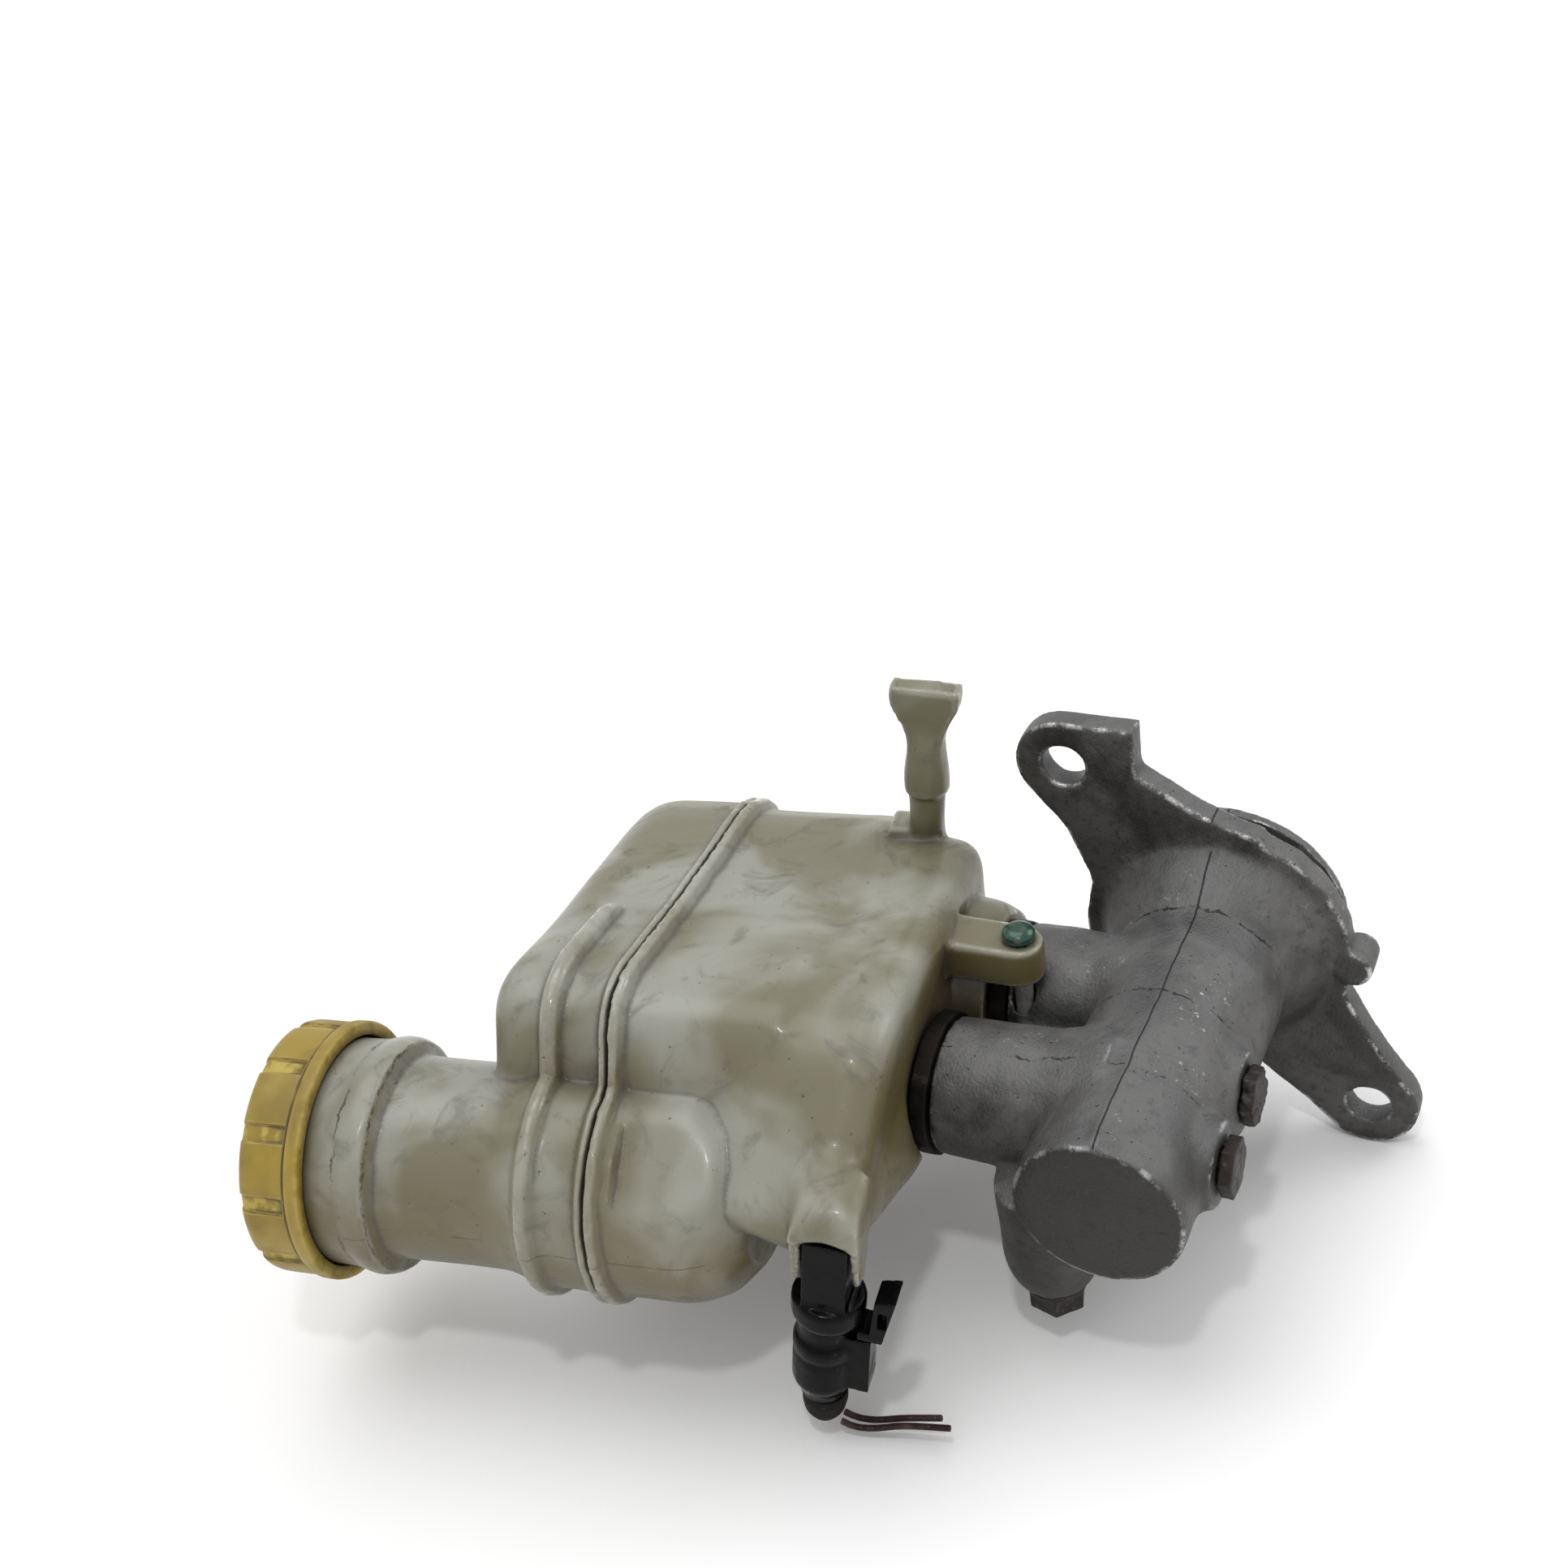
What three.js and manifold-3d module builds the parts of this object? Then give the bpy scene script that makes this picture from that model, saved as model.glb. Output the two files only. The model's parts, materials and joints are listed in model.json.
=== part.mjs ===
// Tandem brake master cylinder with its moulded fluid reservoir, in millimetres.
//
// The casting is drawn in its installed frame: X runs forward along the bore from the booster face,
// Y is to the left and Z is up towards the filler. The reservoir is drawn in a frame tilted about Y,
// so that its filler neck leans forward. The finished object lies on its side, filler towards -Y.

import * as THREE from "three";
import { mergeVertices } from "three/addons/utils/BufferGeometryUtils.js";
import Module from "manifold-3d";

const wasm = await Module();
wasm.setup();

const DEG = Math.PI / 180;
const GAP = 0.3;
const ROUND = 20;
const SMALL_ROUND = 12;

// Casting
const flange = { thickness: 5.5, discRadius: 27.2, pilotRadius: 23.8, pilotLength: 8 };
const stud = { y: 37.5, z: 29.9, holeRadius: 4.5, lobeRadius: 10, offsetY: 0.7, offsetZ: -0.6 };
const barrel = { radius: 16.1, end: 84.3, boreRadius: 10.3, boreEnd: 76 };
const mouth = { radius: 12.2, depth: 7 };
const frontInlet = { x: 58.6, radius: 13.2, top: 36.5, pocket: 11.2 };
const rearInlet = { x: 28, radius: 12.8, top: 32, pocket: 7.5 };
const grommetSleeve = 2;
const pin = { x: 38, z: 28.6, radius: 1.9, headRadius: 3.3, top: 23.5, bottom: -17 };
const stopBolt = { x: 72, z: 13.8, bossRadius: 9.2, bossEnd: -31.2, acrossFlats: 10 };
const outlet = { bossRadius: 8.6, acrossFlats: 10, headHeight: 2.6 };
const frontOutlet = { x: 66, end: -17.8 };
const rearOutlet = { x: 47, end: -16.8 };

// Hydraulic parts, as stations along the bore
const primary = { rear: -12, shoulder: -2, front: 16, landRadius: 10.05, stemRadius: 7.5 };
const secondary = { rear: 34, front: 52 };
const cup = { width: 2.6, inner: 8.3, outer: 10.18 };
const springWire = 0.7;

// Reservoir, in the tilted frame: v forward, w left, h along the neck
const tilt = 7.83 * DEG;
const wall = 2.4;
const tubFloor = 63.5;
const weldHeight = 99.2;
const ridge = { halfWidth: 2.5, proud: 2.4, bead: 111.5, beadProud: 1.6 };
const tankTop = 125;
const neck = { v: 85.1, w: -1.1, radius: 19.4, columnRadius: 21.2, beadRadius: 22.9, top: 165 };
const columnFlat = { angle: 52 * DEG, distance: 18.8 };
const cap = { bottom: 155.2, top: 168.2, radius: 24.4, inner: 22.3, ribs: 11 };
const floatRun = { v: 80, w: 8, radius: 8.5, low: 87, high: 97, guide: 1.5, guideTop: 98.6 };

// Closed hose nipple on the left side
const nipple = { v: 2.4, w: 20, h: 58.6, lean: 5 * DEG };

// Level sensor, along its own axis from the reservoir's socket
const sensor = { v: 100, w: 12, h: 53.8, lean: 9 * DEG };

// ---------- Geometry helpers ----------

function toSolid(geometry) {
  const bare = geometry.clone();
  bare.deleteAttribute("normal");
  bare.deleteAttribute("uv");
  const merged = mergeVertices(bare, 1e-4);
  const position = merged.attributes.position;
  const corner = merged.index ? Array.from(merged.index.array) : [...Array(position.count).keys()];
  const triangles = [];
  let volume = 0;
  const [a, b, c] = [new THREE.Vector3(), new THREE.Vector3(), new THREE.Vector3()];
  for (let i = 0; i < corner.length; i += 3) {
    const [p, q, r] = corner.slice(i, i + 3);
    if (p === q || q === r || r === p) continue;
    triangles.push([p, q, r]);
    a.fromBufferAttribute(position, p);
    b.fromBufferAttribute(position, q);
    c.fromBufferAttribute(position, r);
    volume += a.dot(b.cross(c));
  }
  const ordered = volume < 0 ? triangles.map(([p, q, r]) => [p, r, q]) : triangles;
  return new wasm.Manifold(new wasm.Mesh({
    numProp: 3,
    vertProperties: new Float32Array(position.array),
    triVerts: new Uint32Array(ordered.flat()),
  }));
}

function toGeometry(solid) {
  const mesh = solid.getMesh();
  const geometry = new THREE.BufferGeometry();
  geometry.setAttribute("position", new THREE.BufferAttribute(mesh.vertProperties, 3));
  geometry.setIndex(new THREE.BufferAttribute(mesh.triVerts, 1));
  geometry.computeVertexNormals();
  return geometry;
}

function moved(solid, matrix) {
  return toSolid(toGeometry(solid).applyMatrix4(matrix));
}

function join(first, ...others) {
  return others.reduce((sum, piece) => sum.add(piece), first);
}

function cut(first, ...others) {
  return others.reduce((rest, piece) => rest.subtract(piece), first);
}

// Each axis letter is the direction that the turned profile's stations, or a prism's depth, run along.
const turnAxis = {
  x: (geometry) => geometry.rotateZ(-90 * DEG),
  y: (geometry) => geometry,
  z: (geometry) => geometry.rotateX(90 * DEG),
};

// profile holds [radius, station] pairs, closed on the axis at both ends or on itself.
function turned(profile, axis, centre = [0, 0, 0], segments = ROUND) {
  const points = profile.map(([radius, station]) => new THREE.Vector2(radius, station));
  const geometry = turnAxis[axis](new THREE.LatheGeometry(points, segments));
  return toSolid(geometry.translate(...centre));
}

function rod(axis, radius, from, to, centre = [0, 0, 0], segments = ROUND) {
  return turned([[0, from], [radius, from], [radius, to], [0, to]], axis, centre, segments);
}

function ring(axis, inner, outer, from, to, centre = [0, 0, 0], segments = ROUND) {
  const profile = [[inner, from], [outer, from], [outer, to], [inner, to], [inner, from]];
  return turned(profile, axis, centre, segments);
}

function block(low, high) {
  const size = high.map((value, i) => value - low[i]);
  const middle = high.map((value, i) => (value + low[i]) / 2);
  return toSolid(new THREE.BoxGeometry(...size).translate(...middle));
}

// A flat shape drawn in (Y, Z), shifted within its plane and pushed along X.
function plateAlongX(shape, from, to, [shiftY, shiftZ] = [0, 0]) {
  const options = { depth: to - from, bevelEnabled: false, curveSegments: 6 };
  const geometry = new THREE.ExtrudeGeometry(shape, options).translate(shiftY, shiftZ, 0);
  const cyclic = new THREE.Matrix4().set(0, 0, 1, from, 1, 0, 0, 0, 0, 1, 0, 0, 0, 0, 0, 1);
  return toSolid(geometry.applyMatrix4(cyclic));
}

// A plate across Y between two places, from its outline as x, z points.
function plateAlongY(outline, from, to) {
  const shape = polygon(outline);
  const plate = new THREE.ExtrudeGeometry(shape, { depth: to - from, bevelEnabled: false });
  return toSolid(plate.rotateX(90 * DEG).translate(0, to, 0));
}

function polygon(points) {
  return new THREE.Shape(points.map(([x, y]) => new THREE.Vector2(x, y)));
}

function hexagon(acrossFlats, turn = 0) {
  const radius = acrossFlats / Math.sqrt(3);
  const corners = [...Array(6).keys()].map((k) => k * 60 * DEG + turn);
  return polygon(corners.map((angle) => [radius * Math.cos(angle), radius * Math.sin(angle)]));
}

function hexAlong(axis, acrossFlats, from, to, centre, turn = 0) {
  const low = Math.min(from, to);
  const options = { depth: Math.abs(to - from), bevelEnabled: false };
  const geometry = new THREE.ExtrudeGeometry(hexagon(acrossFlats, turn), options);
  geometry.translate(0, 0, low);
  if (axis === "y") geometry.rotateX(-90 * DEG);
  if (axis === "x") geometry.rotateY(90 * DEG);
  return toSolid(geometry.translate(...centre));
}

// A closed outline with every corner rounded to the given radius.
function roundedOutline(points, radius, steps = 2) {
  const outline = [];
  points.forEach((point, i) => {
    const here = new THREE.Vector2(...point);
    const before = new THREE.Vector2(...points.at(i - 1)).sub(here);
    const after = new THREE.Vector2(...points[(i + 1) % points.length]).sub(here);
    const reach = Math.min(radius, before.length() / 2.2, after.length() / 2.2);
    const start = before.setLength(reach).add(here);
    const end = after.setLength(reach).add(here);
    const bend = new THREE.QuadraticBezierCurve(start, here, end);
    outline.push(...bend.getPoints(steps));
  });
  return outline;
}

// The outline moved inward by a distance, vertex by vertex.
function insetOutline(outline, distance) {
  return outline.map((here, i) => {
    const before = outline.at(i - 1);
    const after = outline[(i + 1) % outline.length];
    const along = after.clone().sub(before).normalize();
    return new THREE.Vector2(here.x - along.y * distance, here.y + along.x * distance);
  });
}

// A solid between stations [height, inset] of one outline; a height may be a function of the point.
function lofted(outline, stations) {
  const count = outline.length;
  const positions = [];
  const rings = stations.map(([height, inset]) => {
    const level = typeof height === "function" ? height : () => height;
    const points = insetOutline(outline, inset);
    points.forEach((point) => positions.push(point.x, point.y, level(point)));
    return points;
  });
  const index = [];
  for (let level = 0; level < rings.length - 1; level += 1) {
    for (let i = 0; i < count; i += 1) {
      const low = level * count;
      const next = (i + 1) % count;
      index.push(low + i, low + next, low + count + next, low + i, low + count + next, low + count + i);
    }
  }
  const top = (rings.length - 1) * count;
  THREE.ShapeUtils.triangulateShape(outline, []).forEach(([a, b, c]) => {
    index.push(c, b, a, top + a, top + b, top + c);
  });
  const geometry = new THREE.BufferGeometry();
  geometry.setAttribute("position", new THREE.Float32BufferAttribute(positions, 3));
  geometry.setIndex(index);
  return toSolid(geometry);
}

// A round wire swept along a smooth path through the points.
function wireAlong(points, radius, steps = 12, sides = 6) {
  const path = new THREE.CatmullRomCurve3(points.map((point) => new THREE.Vector3(...point)));
  const section = new THREE.Shape().absarc(0, 0, radius, 0, 2 * Math.PI, false);
  const options = { steps, extrudePath: path, curveSegments: sides / 2 };
  return toSolid(new THREE.ExtrudeGeometry(section, options));
}

class Helix extends THREE.Curve {
  constructor(radius, from, to, turns) {
    super();
    Object.assign(this, { radius, from, to, turns });
  }

  getPoint(t, target = new THREE.Vector3()) {
    const angle = 2 * Math.PI * this.turns * t;
    const x = this.from + (this.to - this.from) * t;
    return target.set(x, this.radius * Math.cos(angle), this.radius * Math.sin(angle));
  }
}

function coilSpring(radius, from, to, turns) {
  const section = new THREE.Shape().absarc(0, 0, springWire, 0, 2 * Math.PI, false);
  const path = new Helix(radius, from + springWire, to - springWire, turns);
  const options = { steps: turns * 9, extrudePath: path, curveSegments: 2 };
  return toSolid(new THREE.ExtrudeGeometry(section, options));
}

function material(color, roughness, metalness) {
  return new THREE.MeshStandardMaterial({ color, roughness, metalness });
}

function part(name, solid, look) {
  const mesh = new THREE.Mesh(toGeometry(solid), look);
  mesh.name = name;
  return mesh;
}

const looks = {
  casting: material(0x77787c, 0.45, 0.9),
  steel: material(0x8d8f92, 0.35, 1),
  darkSteel: material(0x3c3b3a, 0.5, 0.9),
  rubber: material(0x1b1b1c, 0.8, 0),
  tank: material(0xb9b59f, 0.35, 0),
  capYellow: material(0xb5912f, 0.5, 0),
  blackPlastic: material(0x151517, 0.3, 0),
  greenPin: material(0x28493a, 0.5, 0.4),
  wireDark: material(0x33262b, 0.5, 0),
  whitePlastic: material(0xd8d4c4, 0.5, 0),
};

// ---------- Casting ----------

function flangePlate() {
  const upper = new THREE.Shape();
  upper.moveTo(0, 0);
  upper.lineTo(25.6, -9);
  upper.quadraticCurveTo(28.4, 2, 33.5, 9);
  upper.lineTo(37.4, 15.4);
  upper.lineTo(stud.y + stud.lobeRadius, 15.4);
  upper.lineTo(stud.y + stud.lobeRadius, stud.z);
  upper.absarc(stud.y, stud.z, stud.lobeRadius, 0, 135 * DEG, false);
  upper.lineTo(22.8, 30.5);
  upper.lineTo(11.3, 26.2);
  upper.lineTo(0, 25);
  const lower = new THREE.Shape();
  lower.moveTo(0, 0);
  lower.lineTo(-24.5, 2);
  lower.lineTo(-30.2, -6.8);
  lower.lineTo(-38.2, -16.5);
  lower.absarc(-stud.y, -stud.z, stud.lobeRadius, 130 * DEG, 318 * DEG, false);
  lower.quadraticCurveTo(-22, -31, -10, -25.3);
  const ends = [0, flange.thickness];
  const shifted = (shape) => plateAlongX(shape, ...ends, [stud.offsetY, stud.offsetZ]);
  const disc = rod("x", flange.discRadius, ...ends);
  const tab = join(
    block([0, -5, -27], [flange.thickness, 2, -20]),
    rod("x", 3.8, -2, flange.thickness + 1, [0, -1.5, -27.4], SMALL_ROUND),
  );
  return join(disc, shifted(upper), shifted(lower), tab);
}

function barrelBody() {
  return turned([
    [0, -flange.pilotLength], [flange.pilotRadius, -flange.pilotLength], [flange.pilotRadius, 1],
    [24, 5], [21.8, 8.5], [19.4, 12.5], [18.2, 15.5], [17.2, 16.6], [16.9, 38], [16.4, 40],
    [16.5, 59], [16.1, 61],
    [barrel.radius, barrel.end - 0.8], [barrel.radius - 0.8, barrel.end], [0, barrel.end],
  ], "x", [0, 0, 0], 30);
}

function inletBoss(inlet, baseRadius) {
  return turned([
    [0, 0], [baseRadius + 3.5, 4], [baseRadius + 1.4, 12], [baseRadius, 17],
    [inlet.radius + 0.5, 22], [inlet.radius, inlet.top], [0, inlet.top],
  ], "z", [inlet.x, 0, 0]);
}

function inletPocket(inlet) {
  return join(
    rod("z", inlet.pocket, inlet.top - 7, inlet.top + 5, [inlet.x, 0, 0]),
    rod("z", 3, 0, inlet.top, [inlet.x, 0, 0], SMALL_ROUND),
  );
}

function pinLug() {
  const lug = block([33.5, -11.8, 8], [42.5, 2, 29]);
  const crown = rod("y", 3.3, -11.8, 2, [pin.x, 0, pin.z], SMALL_ROUND);
  return join(lug, crown);
}

function stopBoltBoss() {
  return turned([
    [0, stopBolt.bossEnd], [6.2, stopBolt.bossEnd], [7.6, stopBolt.bossEnd + 1.5],
    [stopBolt.bossRadius, stopBolt.bossEnd + 6], [stopBolt.bossRadius + 0.6, -6], [0, -2],
  ], "y", [stopBolt.x, 0, stopBolt.z], 24);
}

function outletBoss({ x, end }) {
  return turned([
    [0, end], [outlet.bossRadius - 0.6, end], [outlet.bossRadius, end + 1],
    [outlet.bossRadius + 1, -9], [0, -6],
  ], "z", [x, 0, 0], 18);
}

function boreCuts() {
  const main = turned([
    [0, -flange.pilotLength - 1], [mouth.radius, -flange.pilotLength - 1],
    [mouth.radius, -flange.pilotLength + mouth.depth], [barrel.boreRadius, -flange.pilotLength + mouth.depth],
    [barrel.boreRadius, barrel.boreEnd], [0, barrel.boreEnd + 2],
  ], "x", [0, 0, 0], 30);
  const clipGroove = ring("x", 10, 13.2, -6.4, -4.4);
  const sealGroove = ring("x", 21.6, 26, -5.2, -1.8);
  const stopHole = rod("y", 3.4, stopBolt.bossEnd - 1, -13, [stopBolt.x, 0, stopBolt.z], SMALL_ROUND);
  const studHoles = [1, -1].map((side) => {
    const centre = [0, side * stud.y + stud.offsetY, side * stud.z + stud.offsetZ];
    return rod("x", stud.holeRadius, -1, flange.thickness + 1, centre, 20);
  });
  const ports = [frontOutlet, rearOutlet].map(({ x, end }) => (
    rod("z", 3.6, end - 1, -8, [x, 0, 0], SMALL_ROUND)
  ));
  const pinHole = rod("y", pin.radius + GAP, -14, 14, [pin.x, 0, pin.z], SMALL_ROUND);
  return [main, clipGroove, sealGroove, stopHole, pinHole, ...studHoles, ...ports];
}

function casting() {
  const blank = join(
    barrelBody(), flangePlate(), inletBoss(frontInlet, 14), inletBoss(rearInlet, 13),
    pinLug(), stopBoltBoss(), outletBoss(frontOutlet), outletBoss(rearOutlet),
    block([16, 13.5, -1], [83, 16.9, 0.6]),
  );
  return cut(blank, ...boreCuts(), inletPocket(frontInlet), inletPocket(rearInlet));
}

// ---------- Parts fitted to the casting ----------

function grommet(inlet, lipRadius, lipHeight) {
  const sleeve = inlet.pocket - GAP;
  const low = inlet.top - 6;
  const seat = inlet.top + GAP;
  return turned([
    [sleeve - grommetSleeve, low], [sleeve, low], [sleeve, seat], [lipRadius, seat],
    [lipRadius, seat + lipHeight], [sleeve - grommetSleeve, seat + lipHeight], [sleeve - grommetSleeve, low],
  ], "z", [inlet.x, 0, 0]);
}

function retainingPin() {
  const shank = rod("y", pin.radius, pin.bottom, pin.top - 1, [pin.x, 0, pin.z], SMALL_ROUND);
  const head = turned([
    [0, 21.3], [pin.headRadius, 21.3], [pin.headRadius, 22.6], [2, pin.top], [0, pin.top],
  ], "y", [pin.x, 0, pin.z], SMALL_ROUND);
  return join(shank, head);
}

function snapRing() {
  const hoop = ring("x", 10.4, 12.8, -6, -4.7);
  return cut(hoop, block([-8, -3, 6], [-3, 3, 16]));
}

// Two grooves, each a cup's width plus a gap on both sides.
function cupGrooves(stations) {
  return stations.map((x) => ring("x", cup.inner - 0.25, 12, x - 0.25, x + cup.width + 0.25));
}

const primaryCups = [primary.shoulder + 2.5, primary.front - 6];
const secondaryCups = [secondary.rear + 2.5, secondary.front - 6];

function primaryPiston() {
  const blank = turned([
    [0, primary.rear], [5, primary.rear], [primary.stemRadius, primary.rear + 1.5],
    [primary.stemRadius, primary.shoulder], [primary.landRadius, primary.shoulder],
    [primary.landRadius, primary.front], [6.6, primary.front], [6.6, primary.front - 5],
    [0, primary.front - 5],
  ], "x", [0, 0, 0], 16);
  const socket = turned([
    [0, primary.rear + 9], [3.6, primary.rear + 6], [4.2, primary.rear - 1], [0, primary.rear - 1],
  ], "x");
  return cut(blank, socket, ...cupGrooves(primaryCups));
}

function secondaryPiston() {
  const blank = turned([
    [0, secondary.rear], [8.6, secondary.rear], [primary.landRadius, secondary.rear + 1.4],
    [primary.landRadius, secondary.front], [6.6, secondary.front], [6.6, secondary.front - 5],
    [0, secondary.front - 5],
  ], "x", [0, 0, 0], 16);
  return cut(blank, ...cupGrooves(secondaryCups));
}

function pistonCup(station) {
  return turned([
    [cup.inner, station], [cup.outer - 0.5, station], [cup.outer, station + cup.width],
    [cup.inner + 0.5, station + cup.width], [cup.inner, station + cup.width - 1], [cup.inner, station],
  ], "x", [0, 0, 0], 16);
}

function stopScrew() {
  const y = stopBolt.bossEnd - GAP;
  const centre = [stopBolt.x, 0, stopBolt.z];
  const head = hexAlong("y", stopBolt.acrossFlats, y - 5.5, y - 1, centre, 15 * DEG);
  const collar = rod("y", 6, y - 1.4, y, centre, SMALL_ROUND);
  const shank = rod("y", 3, y - 1, -15, centre, SMALL_ROUND);
  return join(head, collar, shank);
}

function outletPlug({ x, end }) {
  const top = end - GAP;
  const centre = [x, 0, 0];
  const head = hexAlong("z", outlet.acrossFlats, top - outlet.headHeight, top, centre, 10 * DEG);
  return join(head, rod("z", 3.2, top - 1, -11, centre, SMALL_ROUND));
}

// ---------- Reservoir ----------

const tubOutline = roundedOutline([
  [-16, -12], [-2, -13], [56, -14.5], [78, -14.5], [88, -4], [86, 14], [82.5, 22.5],
  [77, 32.5], [70, 34.2], [44, 28.2], [20, 23.6], [-4, 19.6], [-16, 11],
], 7);
const stepOutline = roundedOutline([
  [0, -11], [54, -12.5], [70, -9.5], [90, -3.5], [101, 1], [103, 9], [79, 30.5],
  [71, 32.5], [46, 28.4], [20, 23.6], [0, 20.5],
], 6);
const topOutline = roundedOutline([
  [-17.5, -12], [-2, -13], [56, -14.5], [78, -14.5], [88, -4], [84, 14], [81, 22.5],
  [76, 32], [68, 34.4], [44, 28.8], [14, 23.2], [-4, 19.6], [-16.5, 13],
], 7);

const neckCentre = [neck.v, neck.w, 0];

function stepFloor(height) {
  return (point) => height + 0.12 * Math.max(0, point.x - 70);
}

// A rounded band of the given proudness around the tank and its column, between two heights.
function bandAround(outline, low, high, proud) {
  const band = lofted(outline, [[low, 0], [low + 0.7, -proud], [high - 0.7, -proud], [high, 0]]);
  const [root, crest] = [neck.columnRadius - 0.2, neck.columnRadius + proud - 0.4];
  const collar = turned([
    [0, low], [root, low], [crest, low + 0.8], [crest, high - 0.8], [root, high], [0, high],
  ], "z", neckCentre);
  return join(band, collar);
}

// The column under the neck, rounded at its foot and flattened on its left front.
function column(inset) {
  const radius = neck.columnRadius - inset;
  const shaft = turned([
    [0, 71 + inset], [radius - 8, 71.5 + inset], [radius - 2.6, 76.5 + inset], [radius, 83 + inset],
    [radius, weldHeight + 1], [0, weldHeight + 1],
  ], "z", neckCentre);
  const flat = new THREE.BoxGeometry(20, 40, 60).translate(columnFlat.distance - inset + 10, 0, 65);
  flat.rotateZ(columnFlat.angle).translate(neck.v, neck.w, 0);
  return cut(shaft, toSolid(flat));
}

// A straight shape of the installed frame, turned into the tilted frame.
function fromInstalled(solid) {
  return moved(solid, new THREE.Matrix4().makeRotationY(-tilt));
}

function spoutRadius(inlet) {
  return inlet.pocket - GAP - grommetSleeve - GAP;
}

function spout(inlet, skirtRadius, skirtBottom) {
  const centre = [inlet.x, 0, 0];
  const tube = rod("z", spoutRadius(inlet), inlet.top - 5.5, 52, centre);
  const skirt = turned([
    [0, skirtBottom], [skirtRadius - 1.5, skirtBottom], [skirtRadius, skirtBottom + 4],
    [skirtRadius, 53], [0, 56],
  ], "z", centre);
  return fromInstalled(join(tube, skirt));
}

function spoutHole(inlet) {
  return fromInstalled(rod("z", spoutRadius(inlet) - 2, inlet.top - 8, 56, [inlet.x, 0, 0]));
}

function pinEar(from, to, root) {
  const tab = block([33.5, from, pin.z], [43.5, to, root]);
  const end = rod("y", 5, from, to, [pin.x + 0.5, 0, pin.z], SMALL_ROUND);
  const hole = rod("y", pin.radius + GAP, from - 1, to + 1, [pin.x, 0, pin.z], SMALL_ROUND);
  return fromInstalled(cut(join(tab, end), hole));
}

function hoseNipple() {
  const stem = turned([
    [0, -6], [3.6, -6], [3.6, 12], [4.6, 12.4], [4.6, 16], [3.6, 24], [3, 26], [0, 26],
  ], "y", [0, 0, 0], 16);
  const tail = new THREE.Shape();
  tail.moveTo(-3.4, 24);
  tail.quadraticCurveTo(-4, 28, -6.9, 33);
  tail.lineTo(-6.9, 36.8);
  tail.lineTo(6.9, 36.8);
  tail.lineTo(6.9, 33);
  tail.quadraticCurveTo(4, 28, 3.4, 24);
  const flat = new THREE.ExtrudeGeometry(tail, { depth: 4.6, bevelEnabled: false, curveSegments: 4 });
  flat.translate(0, 0, -2.3).rotateY(90 * DEG);
  const place = new THREE.Matrix4().makeRotationX(-nipple.lean).setPosition(nipple.v, nipple.w, nipple.h);
  const foot = block([-1.5, 18, 61.5], [5.5, 23.5, 66]);
  return join(moved(join(stem, toSolid(flat)), place), foot);
}

function sensorFrame() {
  const group = new THREE.Group();
  group.position.set(sensor.v, sensor.w, sensor.h);
  group.rotation.x = 90 * DEG - sensor.lean;
  group.updateMatrix();
  return group;
}

// The moulded fork that holds the level switch, drawn along the sensor's own axis: a sloping bridge
// out of the tank's wall, with a prong on each side of the switch.
function sensorSocket() {
  const bridge = plateAlongY([[-6.5, 3.8], [6.3, 3.8], [6.3, -1.2], [3, -3.8], [-6.5, -6.5]], -6.3, 6.8);
  const prongs = [[-6.3, -4.5, 15.3], [4.5, 6.8, 16]].map(([low, high, end]) => (
    plateAlongY([[-3.5, 0], [5.5, 0], [5.5, 5], [3, end], [-1, end], [-3.5, 5]], low, high)
  ));
  return moved(join(bridge, ...prongs), sensorFrame().matrix);
}

function sensorRoom() {
  return moved(block([-5.3, -4.4, 4], [5.3, 4.4, 30]), sensorFrame().matrix);
}

function reservoirLower() {
  const top = weldHeight - GAP / 2;
  const tub = lofted(tubOutline, [[tubFloor, 4], [tubFloor + 1.5, 1.4], [tubFloor + 4.5, 0], [top + 1, 0]]);
  const step = lofted(stepOutline, [
    [stepFloor(47), 4.5], [stepFloor(48.6), 1.6], [stepFloor(52), 0], [64, 0], [72, 2], [84, 7],
  ]);
  const grommetRoom = fromInstalled(rod("z", 15.4, 30, 40.6, [frontInlet.x, 0, 0]));
  const solid = join(
    cut(join(tub, step), grommetRoom), column(0),
    bandAround(tubOutline, weldHeight - ridge.halfWidth, weldHeight + ridge.halfWidth, ridge.proud),
    spout(frontInlet, 12.6, 40.7), spout(rearInlet, 16.2, 36),
    pinEar(12.4, 21, 50), pinEar(-16, -12.2, 66), hoseNipple(), sensorSocket(),
  );
  const hollow = join(
    lofted(tubOutline, [[tubFloor + 3.5, wall + 3], [tubFloor + 7, wall], [top + 2, wall]]),
    lofted(stepOutline, [
      [stepFloor(50.5), wall + 3.5], [stepFloor(53.5), wall], [64, wall], [72, wall + 1.6], [84, wall + 6],
    ]),
    column(wall),
  );
  const lid = block([-60, -60, top], [160, 60, top + 30]);
  const guide = rod("z", floatRun.guide, 50, floatRun.guideTop, [floatRun.v, floatRun.w, 0], SMALL_ROUND);
  return join(cut(solid, hollow, lid, sensorRoom(), spoutHole(frontInlet), spoutHole(rearInlet)), guide);
}

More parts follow.
